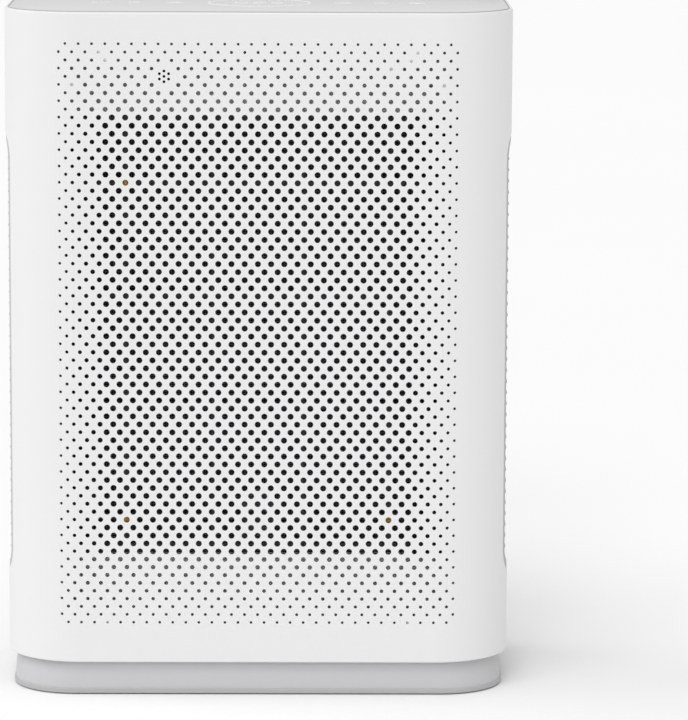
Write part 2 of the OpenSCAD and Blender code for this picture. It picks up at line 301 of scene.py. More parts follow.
WHITE_SHELL = Finish("white_satin", (0.815, 0.815, 0.82), Grain.MOULDED, 0.42, mottle=0.006, depth=0.008 * MM)
WHITE_INNER = Finish("white_inner", (0.8, 0.8, 0.8), Grain.MOULDED, 0.55, mottle=0.01, depth=0.02 * MM)
BASE_GREY = Finish("base_satin", (0.56, 0.56, 0.57), Grain.MOULDED, 0.45, mottle=0.01, depth=0.01 * MM)
PANEL_GREY = Finish("panel_gloss", (0.78, 0.78, 0.785), Grain.POLISHED, 0.22, coat=0.5, mottle=0.006,
                    depth=0.003 * MM)
MARK_WHITE = Finish("mark_white", (0.93, 0.93, 0.93), Grain.POLISHED, 0.3, mottle=0.005, depth=0.002 * MM)
# Painted shade: the ring round the touch plate is mid grey so that it draws the shadowed gap between the
# plate and the shells.
GAP_SHADE_GREY = Finish("painted_gap_shade", (0.5, 0.5, 0.505), Grain.MOULDED, 0.6, mottle=0.01, depth=0.01 * MM)
LIP_GREY = Finish("lip_satin", (0.46, 0.46, 0.465), Grain.MOULDED, 0.5, mottle=0.01, depth=0.01 * MM)
VENT_GREY = Finish("vent_grey", (0.34, 0.34, 0.345), Grain.MOULDED, 0.62, mottle=0.02, depth=0.02 * MM)
BLACK = Finish("black_moulding", (0.02, 0.02, 0.02), Grain.MOULDED, 0.5, mottle=0.1, depth=0.02 * MM)
DARK = Finish("dark_moulding", (0.09, 0.09, 0.093), Grain.MOULDED, 0.6, mottle=0.08, depth=0.02 * MM)
ORANGE = Finish("orange_moulding", (0.75, 0.28, 0.04), Grain.MOULDED, 0.4, mottle=0.03)
IMPELLER = Finish("impeller_moulding", (0.32, 0.35, 0.38), Grain.MOULDED, 0.45, mottle=0.04, depth=0.03 * MM)
GUIDE = Finish("light_guide", (0.85, 0.87, 0.9), Grain.POLISHED, 0.25, mottle=0.01)
BOARD = Finish("circuit_board", (0.015, 0.13, 0.06), Grain.BOARD, 0.35, coat=0.4, mottle=0.25)
STEEL = Finish("zinc_plate", (0.62, 0.62, 0.61), Grain.BRUSHED, 0.34, 1.0, mottle=0.08, depth=0.006 * MM)
MAGNET = Finish("nickel_plate", (0.6, 0.6, 0.62), Grain.POLISHED, 0.18, 1.0, mottle=0.04)
CASTING = Finish("motor_casting", (0.55, 0.56, 0.57), Grain.CAST, 0.45, 1.0, mottle=0.1, depth=0.05 * MM)
COPPER = Finish("copper_winding", (0.62, 0.25, 0.1), Grain.WOUND, 0.35, 1.0, mottle=0.15, depth=0.2 * MM)
BRASS = Finish("satin_brass", (0.72, 0.45, 0.1), Grain.BRUSHED, 0.32, 1.0, mottle=0.08)
RUBBER = Finish("rubber", (0.018, 0.018, 0.018), Grain.CAST, 0.8, mottle=0.15, depth=0.05 * MM)
NET = Finish("nylon_net", (0.13, 0.13, 0.135), Grain.WOVEN, 0.75, sheen=0.1, mottle=0.15, size=0.15 * MM)
CARD = Finish("filter_card", (0.76, 0.76, 0.74), Grain.PAPER, 0.75, mottle=0.03, size=0.8 * MM)
PAPER = Finish("filter_paper", (0.84, 0.84, 0.81), Grain.PAPER, 0.9, sheen=0.2, mottle=0.05, depth=0.1 * MM)
FELT = Finish("carbon_felt", (0.02, 0.02, 0.021), Grain.FELT, 0.95, sheen=0.15, mottle=0.35, depth=0.3 * MM)
FOAM = Finish("seal_foam", (0.16, 0.17, 0.18), Grain.FOAM, 0.9, mottle=0.15, size=0.9 * MM, depth=0.2 * MM)
RIBBON = Finish("pull_ribbon", (0.12, 0.13, 0.15), Grain.WOVEN, 0.8, sheen=0.3, mottle=0.15, size=0.5 * MM)


# ---------------------------------------------------------------- mesh tools


@dataclass
class Mesh:
    """Points and faces of one piece, gathered from several shapes."""

    points: list[Point3] = field(default_factory=list)
    faces: list[tuple[int, ...]] = field(default_factory=list)

    def add(self, points: Sequence[Point3], faces: Sequence[Sequence[int]]) -> None:
        """Adds one closed shape."""
        start = len(self.points)
        self.points.extend(tuple(p) for p in points)
        self.faces.extend(tuple(start + i for i in f) for f in faces)

    def build(
        self, name: str, finish: Finish, body: str, slot: str, crease: float = 32.0
    ) -> bpy.types.Object:
        """Makes the piece, dresses it and lets it ride on a body.

        Args:
            name: The piece's name.
            finish: Its finish.
            body: The CAD body that it moves with.
            slot: Not used.
            crease: Edges sharper than this many degrees stay sharp.

        Returns:
            The new object.
        """
        data = bpy.data.meshes.new(name)
        data.from_pydata(self.points, [], self.faces)
        data.polygons.foreach_set("use_smooth", [len(f) <= 4 for f in self.faces])
        data.set_sharp_from_angle(angle=math.radians(crease))
        data.update()
        return settle(name, data, finish, body)


def settle(name: str, data: bpy.types.Mesh, finish: Finish, body: str) -> bpy.types.Object:
    """Links a finished mesh into the scene as a piece on a body."""
    piece = bpy.data.objects.new(name, data)
    bpy.context.scene.collection.objects.link(piece)
    data.materials.append(finish.material())
    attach(piece, body)
    LOG.info("%s: %d faces on %s", name, len(data.polygons), body)
    return piece


def upright(x: float, y: float, z: float) -> Point3:
    """Leaves a shape's axis along Z."""
    return (x, y, z)


def facing_back(x: float, y: float, z: float) -> Point3:
    """Turns a shape's axis from Z to Y, and its own Y to Z."""
    return (x, z, y)


@dataclass(frozen=True)
class Level:
    """One rounded rectangle of a loft: its size, corner radius and height, in metres."""

    width: float
    depth: float
    radius: float
    height: float

    def ring(self, arc_steps: int) -> list[Point2]:
        """Points round the rectangle, anticlockwise from the middle of its right side's lower corner."""
        radius = max(self.radius, 0.01 * MM)
        half_w, half_d = self.width / 2 - radius, self.depth / 2 - radius
        corners = ((half_w, -half_d, -90), (half_w, half_d, 0),
                   (-half_w, half_d, 90), (-half_w, -half_d, 180))
        ring = []
        for x, y, start in corners:
            for i in range(arc_steps + 1):
                angle = math.radians(start + 90 * i / arc_steps)
                ring.append((x + radius * math.cos(angle), y + radius * math.sin(angle)))
        return ring


def skin(mesh: Mesh, points: Sequence[Point3], count: int, closed: bool, turned: bool) -> None:
    """Adds a skin through rings that have the same number of points.

    Args:
        mesh: Where it goes.
        points: The rings' points, ring after ring.
        count: Points in one ring.
        closed: True joins the last ring to the first; False caps both ends.
        turned: True turns the faces over, for a shape whose axes were swapped.
    """
    rings = len(points) // count
    faces = []
    for j in range(rings if closed else rings - 1):
        low, high = j * count, (j + 1) % rings * count
        for i in range(count):
            k = (i + 1) % count
            faces.append((low + i, low + k, high + k, high + i))
    if not closed:
        faces += [tuple(range(count))[::-1], tuple(range(len(points) - count, len(points)))]
    mesh.add(points, [face[::-1] for face in faces] if turned else faces)


def loft(
    mesh: Mesh,
    levels: Sequence[Level],
    place: Place = upright,
    centre: Point3 = (0, 0, 0),
    arc_steps: int = 12,
    closed: bool = False,
) -> None:
    """Adds a skin through rounded rectangles.

    Args:
        mesh: Where it goes.
        levels: The rectangles, in order along the skin.
        place: How the shape's own axes turn.
        centre: Added to every point.
        arc_steps: Segments of each corner.
        closed: True joins the last level to the first, as in a ring; False caps both ends.
    """
    rings = [level.ring(arc_steps) for level in levels]
    points = []
    for level, ring in zip(levels, rings, strict=True):
        for x, y in ring:
            points.append(tuple(a + b for a, b in zip(place(x, y, level.height), centre, strict=True)))
    skin(mesh, points, len(rings[0]), closed, place is not upright)


def lathe(
    mesh: Mesh,
    profile: Sequence[Point2],
    centre: Point3,
    place: Place = facing_back,
    steps: int = 48,
    closed: bool = False,
) -> None:
    """Adds a solid of revolution.

    Args:
        mesh: Where it goes.
        profile: (radius, height) pairs, going up the outside.
        centre: Added to every point.
        place: How the axis turns.
        steps: Segments of a turn.
        closed: True joins the last pair to the first, as in a ring; False caps both ends.
    """
    points = []
    for radius, height in profile:
        for i in range(steps):
            angle = math.tau * i / steps
            spot = place(radius * math.cos(angle), radius * math.sin(angle), height)
            points.append(tuple(a + b for a, b in zip(spot, centre, strict=True)))
    skin(mesh, points, steps, closed, place is not upright)


def rounded_bar(radius: float, length: float, edge: float) -> list[Point2]:
    """Profile of a plain round bar with eased edges, for lathe()."""
    return [(radius - edge, 0.0), (radius, edge), (radius, length - edge), (radius - edge, length)]


def box_solid(mesh: Mesh, low: Point3, high: Point3) -> None:
    """Adds a plain block between two corners."""
    x, y, z = zip(low, high, strict=True)
    points = [(x[i], y[j], z[k]) for k in (0, 1) for j in (0, 1) for i in (0, 1)]
    faces = [(0, 2, 3, 1), (4, 5, 7, 6), (0, 1, 5, 4), (2, 6, 7, 3), (0, 4, 6, 2), (1, 3, 7, 5)]
    mesh.add(points, faces)


@dataclass(frozen=True)
class Outline:
    """The body's rounded plan, measured along its edge from the middle of the front."""

    width: float
    depth: float
    radius: float

    @property
    def flat(self) -> float:
        """Half the flat front's width."""
        return self.width / 2 - self.radius

    @property
    def quarter(self) -> float:
        """Length of one corner's arc."""
        return self.radius * math.pi / 2

    @property
    def half(self) -> float:
        """Half the way round."""
        return 2 * self.flat + 2 * self.quarter + self.depth - 2 * self.radius

    def along_front(self, x: float) -> float:
        """How far along the edge the front is at x."""
        over = abs(x) - self.flat
        if over <= 0:
            return x
        return math.copysign(self.flat + self.radius * math.asin(min(1.0, over / self.radius)), x)

    def along_side(self, y: float) -> float:
        """How far along the edge the right side is at y."""
        ahead = self.radius - self.depth / 2 - y
        if ahead > 0:
            return self.flat + self.radius * math.acos(min(1.0, ahead / self.radius))
        return self.flat + self.quarter - ahead

    def bend(self, s: np.ndarray, inset: np.ndarray | float) -> tuple[np.ndarray, np.ndarray]:
        """Lays lengths along the edge out in plan.

        Args:
            s: Lengths along the edge; positive to the right.
            inset: How far inside the edge.

        Returns:
            The points and the outward normals, as N by 2 arrays.
        """
        s = (s + self.half) % (2 * self.half) - self.half
        sign = np.where(s < 0, -1.0, 1.0)
        t = np.abs(s)
        first, second = self.flat, self.flat + self.quarter
        third = second + self.depth - 2 * self.radius
        fourth = third + self.quarter
        low, high = -self.depth / 2, self.depth / 2
        a = np.clip((t - first) / self.radius, 0, math.pi / 2)
        b = np.clip((t - third) / self.radius, 0, math.pi / 2)
        nx = np.where(t < third, np.sin(a), np.cos(b))
        ny = np.where(t < third, -np.cos(a), np.sin(b))
        zones = [t <= first, t <= second, t <= third, t <= fourth]
        rounding = self.flat + self.radius * nx
        x = np.select(zones, [t, rounding, self.width / 2 + 0 * t, rounding], self.flat - (t - fourth))
        front_arc, side = low + self.radius + self.radius * ny, low + self.radius + t - second
        rear_arc = high - self.radius + self.radius * ny
        y = np.select(zones, [low + 0 * t, front_arc, side, rear_arc], high)
        normal = np.stack([nx * sign, ny], 1)
        spot = np.stack([x * sign, y], 1)
        return spot - normal * np.reshape(inset, (-1, 1)), normal


def mitres(loop: np.ndarray) -> np.ndarray:
    """Left-hand offset directions at a closed loop's points, for a unit offset of its sides."""
    ahead = np.roll(loop, -1, 0) - loop
    ahead /= np.linalg.norm(ahead, axis=1, keepdims=True)
    left = np.stack([-ahead[:, 1], ahead[:, 0]], 1)
    before = np.roll(left, 1, 0)
    return (left + before) / np.maximum(1 + np.sum(left * before, 1, keepdims=True), 0.3)


def circle(x: float, z: float, radius: float, count: int) -> list[Point2]:
    """Points round a circle, anticlockwise."""
    turns = [math.tau * (i + 0.5) / count for i in range(count)]
    return [(x + radius * math.cos(a), z + radius * math.sin(a)) for a in turns]


def rounded_loop(low: Point2, high: Point2, radius: float, arc_steps: int = 10) -> list[Point2]:
    """Points round a rounded rectangle between two corners, anticlockwise."""
    centre = ((low[0] + high[0]) / 2, (low[1] + high[1]) / 2)
    level = Level(high[0] - low[0], high[1] - low[1], radius, 0.0)
    return [(x + centre[0], y + centre[1]) for x, y in level.ring(arc_steps)]


class Sheet:
    """A flat pattern with openings that is bent round the body's outline and given a thickness."""

    def __init__(self, outline: Outline, thickness: float, draft: float = 0.0) -> None:
        """Starts an empty pattern.

        Args:
            outline: What it is bent round.
            thickness: Of the finished sheet.
            draft: How much further a sharp-edged opening reaches at the inner face than at the outer one.
        """
        self.outline = outline
        self.thickness = thickness
        self.draft = draft
        self.points: list[Vector] = []
        self.easing: list[float] = []
        self.loops: list[list[int]] = []
        self.lines: list[tuple[int, int]] = []

    def loop(self, points: Sequence[Point2], easing: float | Sequence[float] = 0.0) -> None:
        """Adds a closed line: the pattern's edge comes first, and the others are openings.

        Args:
            points: Along the outline and up, in metres.
            easing: Radius of the rounded edge, for all points or for each.
        """
        path = np.array(points, float)
        step = np.roll(path, -1, 0) - path
        turning = float(np.sum(path[:, 0] * step[:, 1] - path[:, 1] * step[:, 0]))
        eased = np.broadcast_to(np.array(easing, float), (len(path),)).copy()
        if (turning > 0) == bool(self.loops):
            path, eased = path[::-1], eased[::-1]
        drawn = path + mitres(path) * eased[:, None]
        start = len(self.points)
        self.points.extend(Vector(p) for p in drawn)
        self.easing.extend(float(e) for e in eased)
        ring = list(range(start, start + len(path)))
        self.loops.append(ring[::-1] if self.loops else ring)

    def line(self, low: Point2, high: Point2) -> None:
        """Adds a line that the pattern may bend along."""
        start = len(self.points)
        self.points += [Vector(low), Vector(high)]
        self.easing += [-1.0, -1.0]
        self.lines.append((start, start + 1))

    def bend_lines(self, along: Sequence[float], low: float, high: float) -> None:
        """Adds upright bend lines at lengths along the outline."""
        for s in along:
            self.line((s, low), (s, high))

    def _flat(self) -> tuple[np.ndarray, np.ndarray, np.ndarray]:
        """Triangulates the pattern.

        Returns:
            Its points, its triangles and each point's easing, which is below 0 where none is known.
        """
        got = delaunay_2d_cdt(self.points, self.lines, self.loops, 0, 1e-7)
        flat = np.array([tuple(p) for p in got[0]], float)
        kept = [f for f, inside in zip(got[2], got[5], strict=True) if list(inside) == [0]]
        triangles = np.array(kept, int)
        a, b, c = (flat[triangles[:, i]] for i in range(3))
        area = (b[:, 0] - a[:, 0]) * (c[:, 1] - a[:, 1]) - (b[:, 1] - a[:, 1]) * (c[:, 0] - a[:, 0])
        triangles[area < 0] = triangles[area < 0][:, ::-1]
        eased = np.full(len(flat), -1.0)
        for i, sources in enumerate(got[3]):
            known = [self.easing[j] for j in sources if self.easing[j] >= 0]
            if known:
                eased[i] = known[0]
        return flat, triangles, eased

    def solid(self, name: str, finish: Finish, body: str, steps: int = 3) -> bpy.types.Object:
        """Bends the pattern, thickens it and makes the piece.

        Args:
            name: The piece's name.
            finish: Its finish.
            body: The CAD body that it moves with.
            steps: Segments of a rounded edge.

        Returns:
            The new object.
        """
        flat, triangles, eased = self._flat()
        used = np.unique(triangles)
        renumber = np.full(len(flat), -1)
        renumber[used] = np.arange(len(used))
        flat, eased, triangles = flat[used], eased[used], renumber[triangles]
        count = len(flat)
        sides = np.concatenate([triangles[:, [0, 1]], triangles[:, [1, 2]], triangles[:, [2, 0]]])
        rim = sides[~np.isin(sides[:, 0] * count + sides[:, 1], sides[:, 1] * count + sides[:, 0])]
        after, before = np.full(count, -1), np.full(count, -1)
        after[rim[:, 0]] = rim[:, 1]
        before[rim[:, 1]] = rim[:, 0]
        for start in rim[:, 0]:
            source = start
            while eased[source] < 0:
                source = before[source]
            eased[start] = eased[source]
        edge = np.unique(rim)
        ahead = flat[after[edge]] - flat[edge]
        behind = flat[edge] - flat[before[edge]]
        ahead /= np.linalg.norm(ahead, axis=1, keepdims=True)
        behind /= np.linalg.norm(behind, axis=1, keepdims=True)
        out_a = np.stack([ahead[:, 1], -ahead[:, 0]], 1)
        out_b = np.stack([behind[:, 1], -behind[:, 0]], 1)
        away = np.zeros((count, 2))
        away[edge] = (out_a + out_b) / np.maximum(1 + np.sum(out_a * out_b, 1, keepdims=True), 0.3)
        eased = np.maximum(eased, 0)

        def laid(which: np.ndarray, outward: float, depth: np.ndarray | float, draft: float = 0.0):
            """Points, normals and sideways directions of pattern points moved outward and inward."""
            reach = np.where(eased[which] > 0, eased[which] * outward, -draft)
            moved = flat[which] + away[which] * reach[:, None]
            spot, normal = self.outline.bend(moved[:, 0], depth)
            facing = np.column_stack([normal, np.zeros(len(which))])
            sideways = away[which] / np.maximum(np.linalg.norm(away[which], axis=1, keepdims=True), 1e-9)
            across, up = sideways[:, 0], sideways[:, 1]
            apart = np.column_stack([-normal[:, 1] * across, normal[:, 0] * across, up])
            return np.column_stack([spot, moved[:, 1]]), facing, apart

        everything = np.arange(count)
        outer, facing, apart = laid(everything, 0.0, 0.0)
        points, faces, normals = [outer], [triangles], [facing[triangles].reshape(-1, 3)]
        total = count
        current = everything.copy()
        quads, quad_normals = [], []
        soft = edge[eased[edge] > 0]
        soft_rim = rim[(eased[rim[:, 0]] > 0) & (eased[rim[:, 1]] > 0)]
        for j in range(1, steps + 1 if len(soft) else 1):
            angle, last = math.pi / 2 * j / steps, math.pi / 2 * (j - 1) / steps
            ring, _, _ = laid(soft, math.sin(angle), eased[soft] * (1 - math.cos(angle)))
            fresh = current.copy()
            fresh[soft] = total + np.arange(len(soft))
            points.append(ring)
            total += len(soft)
            a, b = soft_rim[:, 0], soft_rim[:, 1]
            quads.append(np.stack([current[a], fresh[a], fresh[b], current[b]], 1))
            here, there = (facing * math.cos(q) + apart * math.sin(q) for q in (last, angle))
            quad_normals.append(np.stack([here[a], there[a], there[b], here[b]], 1))
            current = fresh
        inner, _, _ = laid(everything, 1.0, self.thickness, self.draft)
        points.append(inner)
        a, b = rim[:, 0], rim[:, 1]
        quads.append(np.stack([current[a], total + a, total + b, current[b]], 1))
        quad_normals.append(np.stack([apart[a], apart[a], apart[b], apart[b]], 1))
        faces.append(total + triangles[:, ::-1])
        normals.append(-facing[triangles[:, ::-1]].reshape(-1, 3))
        data = bpy.data.meshes.new(name)
        shapes = [f.tolist() for f in (*faces, *quads)]
        data.from_pydata(np.concatenate(points).tolist(), [], [f for part in shapes for f in part])
        data.polygons.foreach_set("use_smooth", [True] * len(data.polygons))
        loops = np.concatenate([*normals, *(q.reshape(-1, 3) for q in quad_normals)])
        loops /= np.maximum(np.linalg.norm(loops, axis=1, keepdims=True), 1e-9)
        data.normals_split_custom_set(loops.tolist())
        data.update()
        return settle(name, data, finish, body)


# ---------------------------------------------------------------- the purifier


@dataclass
class Body:
    """What the shells share, read from the frame."""

    low: Vector
    high: Vector
    outline: Outline
    seam_y: float
    floor_z: float

    @classmethod
    def read(cls) -> "Body":
        """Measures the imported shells."""
        cover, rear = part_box("front_cover"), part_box("rear_shell")
        outline = Outline(cover[1].x - cover[0].x, rear[1].y - cover[0].y, CORNER_RADIUS)
        return cls(cover[0], rear[1], outline, cover[1].y, cover[0].z)

    @property
    def rim_z(self) -> float:
        """Height of the shells' upper edge, a little lower than the grey ring round the touch plate, whose
        grey is painted shade for the gap there.
        """
        return self.high.z - RIM_DROP

    def vent_edge(self, seam_y: float, front: bool) -> list[Point2]:
        """The part of a side vent's opening that one shell holds.

        Args:
            seam_y: Where that shell ends.
            front: True for the front shell, False for the rear one.

        Returns:
            Points along the outline and up: downwards for the front shell and upwards for the rear one.
        """
        box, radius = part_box("vent_right"), 20 * MM
        low = (box[0].y + VENT_FLANGE, box[0].z + VENT_FLANGE)
        high = (box[1].y - VENT_FLANGE, box[1].z - VENT_FLANGE)
        ring = rounded_loop(low, high, radius, 14)
        kept = [(y < seam_y - 0.2 * MM) if front else (y > seam_y + 0.2 * MM) for y, _ in ring]
        first = next(i for i in range(len(ring)) if kept[i] and not kept[i - 1])
        path = [ring[(first + i) % len(ring)] for i in range(sum(kept))]
        rise = radius - math.sqrt(radius**2 - max(0.0, low[0] + radius - seam_y) ** 2)
        ends = [(seam_y, high[1] - rise), (seam_y, low[1] + rise)]
        path = [ends[0], *path, ends[1]] if front else [ends[1], *path, ends[0]]
        return [(self.outline.along_side(y), z) for y, z in path]


@dataclass
class Grille:
    """The front cover's graded field of holes."""

    pitch: float = 10 * MM
    row_gap: float = 6.167 * MM
    rows: int = 73
    half_columns: int = 30
    top_z: float = 501.1 * MM
    full_diameter: float = 4.65 * MM
    sensor_row: float = 3.95
    sensor_column: float = -7.07
    sensor_ring: float = 4.0 * MM
    sensor_diameter: float = 2.2 * MM

    def diameter(self, row: int, half_column: int) -> float:
        """Diameter of a hole, which shrinks towards the field's edges.

        Args:
            row: Counted from the top.
            half_column: Counted in half pitches from the middle.

        Returns:
            The diameter in metres.
        """
        ends = min(row, self.rows - 1 - row)
        sides = self.half_columns - abs(half_column)
        by_row = 2.1 + 0.22 * ends if ends <= 8 else self.full_diameter / MM
        by_side = 2.2 + 0.285 * sides if sides <= 6 else self.full_diameter / MM
        return min(by_row, by_side) * MM

    def sensor_holes(self) -> list[Point3]:
        """The cluster in front of the dust sensor: x, z and diameter of each hole."""
        x, z = self.sensor_column * self.pitch, self.top_z - self.sensor_row * self.row_gap
        ring = [math.radians(30 + 60 * i) for i in range(6)]
        reach = self.sensor_ring
        spots = [(x, z)] + [(x + reach * math.cos(a), z + reach * math.sin(a)) for a in ring]
        return [(px, pz, self.sensor_diameter) for px, pz in spots]

    def holes(self) -> list[Point3]:
        """Every hole of the field: x, z and diameter."""
        found = []
        clear = self.sensor_ring + self.sensor_diameter
        cluster_x, cluster_z, _ = self.sensor_holes()[0]
        for row in range(self.rows):
            z = self.top_z - row * self.row_gap
            for half_column in range(-self.half_columns + 1 - row % 2, self.half_columns + 1, 2):
                x = half_column * self.pitch / 2
                size = self.diameter(row, half_column)
                if math.hypot(x - cluster_x, z - cluster_z) > clear + size / 2 + 0.4 * MM:
                    found.append((x, z, size))
        return found


@dataclass
class FrontCover:
    """The white perforated cover that pulls off."""

    body: Body
    grille: Grille = field(default_factory=Grille)
    edge: float = 1.3 * MM
    seam_edge: float = 0.5 * MM
    corner_step: float = math.radians(4)
    draft: float = 0.45 * MM
    peg_radius: float = 3 * MM

    def build(self) -> None:
        """Makes the cover and the pegs on its inside."""
        outline = self.body.outline
        sheet = Sheet(outline, SHELL_WALL, self.draft)
        top, bottom = self.body.rim_z, self.body.floor_z
        seam = outline.along_side(self.body.seam_y)
        right = [(seam, bottom), *reversed(self.body.vent_edge(self.body.seam_y, True)), (seam, top)]
        eased = [self.edge] + [self.seam_edge] * (len(right) - 2) + [self.edge]
        left = [(-s, z) for s, z in reversed(right)]
        sheet.loop(right + left, eased + eased[::-1])
        for x, z, size in self.grille.holes():
            sheet.loop(self._hole(x, z, size))
        for x, z, size in self.grille.sensor_holes():
            sheet.loop(self._hole(x, z, size))
        steps = [outline.along_front((c + 0.25) * self.grille.pitch) for c in (13.5, 14, 14.5, 15)]
        angle = steps[-1] / outline.radius - outline.flat / outline.radius
        count = math.ceil((math.pi / 2 - angle) / self.corner_step)
        steps += [steps[-1] + (seam - steps[-1]) * i / count for i in range(1, count)]
        sheet.bend_lines([outline.flat + 0.2 * MM, *steps], bottom, top)
        sheet.bend_lines([-outline.flat - 0.2 * MM, *(-s for s in steps)], bottom, top)
        cover = sheet.solid("front_cover_shell", WHITE_SHELL, "cover")
        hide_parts("front_cover")
        self._pegs()

    def _hole(self, x: float, z: float, size: float) -> list[Point2]:
        """Outline of one hole, drilled from the front."""
        count = 16 if size > 3.9 * MM else 12
        return [(self.body.outline.along_front(px), pz) for px, pz in circle(x, z, size / 2, count)]

    def _pegs(self) -> None:
        """The pegs that find the filter bay's sockets, and the stud that holds the safety switch in."""
        mesh = Mesh()
        bay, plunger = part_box("filter_bay"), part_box("interlock_plunger")
        inner = self.body.low.y + SHELL_WALL
        for x in (-140 * MM, 140 * MM):
            for z in (70 * MM, 470 * MM):
                profile = rounded_bar(self.peg_radius, bay[0].y + 8.3 * MM - inner, 0.8 * MM)
                lathe(mesh, profile, (x, inner - 0.3 * MM, z), steps=24)
        centre = (plunger[0] + plunger[1]) / 2
        lathe(mesh, rounded_bar(4 * MM, 3.5 * MM, 0.5 * MM), (centre.x, inner - 0.3 * MM, centre.z), steps=24)
        mesh.build("cover_pegs", WHITE_SHELL, "cover", "white_shell")


@dataclass
class RearShell:
    """The back half of the body, with its openings and the screw posts inside."""

    body: Body
    edge: float = 1.3 * MM
    seam_edge: float = 0.5 * MM
    post_x: float = 150 * MM
    post_z: tuple[float, float] = (52 * MM, 495 * MM)
    post_radius: float = 7 * MM
    bore_radius: float = 4.5 * MM
    inlet_window: Point2 = (28.4 * MM, 22.4 * MM)
    corner_step: float = math.radians(4)

    def build(self) -> None:
        """Makes the shell and its posts."""
        outline = self.body.outline
        start_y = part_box("rear_shell")[0].y
        seam, middle = outline.along_side(start_y), outline.half
        top, bottom = self.body.rim_z, self.body.floor_z
        notch = self.body.vent_edge(start_y, False)[::-1]
        right = [(seam, top), *notch, (seam, bottom)]
        eased = [self.edge] + [self.seam_edge] * len(notch) + [self.edge]
        left = [(2 * middle - s, z) for s, z in reversed(right)]
        sheet = Sheet(outline, SHELL_WALL)
        sheet.loop(right + left, eased + eased[::-1])
        pocket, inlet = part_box("handle_pocket"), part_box("power_inlet")
        lip = 4 * MM
        low, high = (pocket[0].x + lip, pocket[0].z + lip), (pocket[1].x - lip, pocket[1].z - lip)
        window = rounded_loop(low, high, 14 * MM)
        sheet.loop([(middle - x, z) for x, z in window], 1.6 * MM)
        centre, reach = (inlet[0] + inlet[1]) / 2, Vector(self.inlet_window) / 2
        low, high = (centre.x - reach.x, centre.z - reach.y), (centre.x + reach.x, centre.z + reach.y)
        window = rounded_loop(low, high, 1.5 * MM, 4)
        sheet.loop([(middle - x, z) for x, z in window], 0.4 * MM)
        for x in (-self.post_x, self.post_x):
            for z in self.post_z:
                bore = circle(x, z, self.bore_radius, 24)
                sheet.loop([(middle - outline.along_front(px), pz) for px, pz in bore], 0.5 * MM)
        corner = outline.flat + outline.quarter
        rear_corner = corner + outline.depth - 2 * outline.radius
        count = math.ceil(math.pi / 2 / self.corner_step)
        arc = [rear_corner + outline.quarter * i / count for i in range(count + 1)]
        right_side = [corner + 0.1 * MM, *arc]
        sheet.bend_lines([*right_side, *(2 * middle - s for s in right_side)], bottom, top)
        shell = sheet.solid("rear_shell_skin", WHITE_SHELL, "cabinet")
        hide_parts("rear_shell")
        self._posts()

    def _posts(self) -> None:
        """Hollow posts that the shell's screws go down, and the power board's standoffs."""
        mesh = Mesh()
        start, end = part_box("filter_bay")[1].y, self.body.high.y - 6 * MM
        floor = 6.5 * MM
        outer, bore, pilot, length = self.post_radius, self.bore_radius, 2.1 * MM, end - start
        profile = [(pilot, 0), (outer, 0), (outer, length), (bore, length), (bore, floor), (pilot, floor)]
        for x in (-self.post_x, self.post_x):
            for z in self.post_z:
                lathe(mesh, profile, (x, start, z), steps=32, closed=True)
        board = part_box("power_board")
        for x in (-60 * MM, 60 * MM):
            for z in (50 * MM, 100 * MM):
                length = self.body.high.y - SHELL_WALL - board[1].y
                lathe(mesh, rounded_bar(3.5 * MM, length, 0.3 * MM), (x, board[1].y, z), steps=24)
        mesh.build("screw_posts", WHITE_INNER, "cabinet", "white_shell")


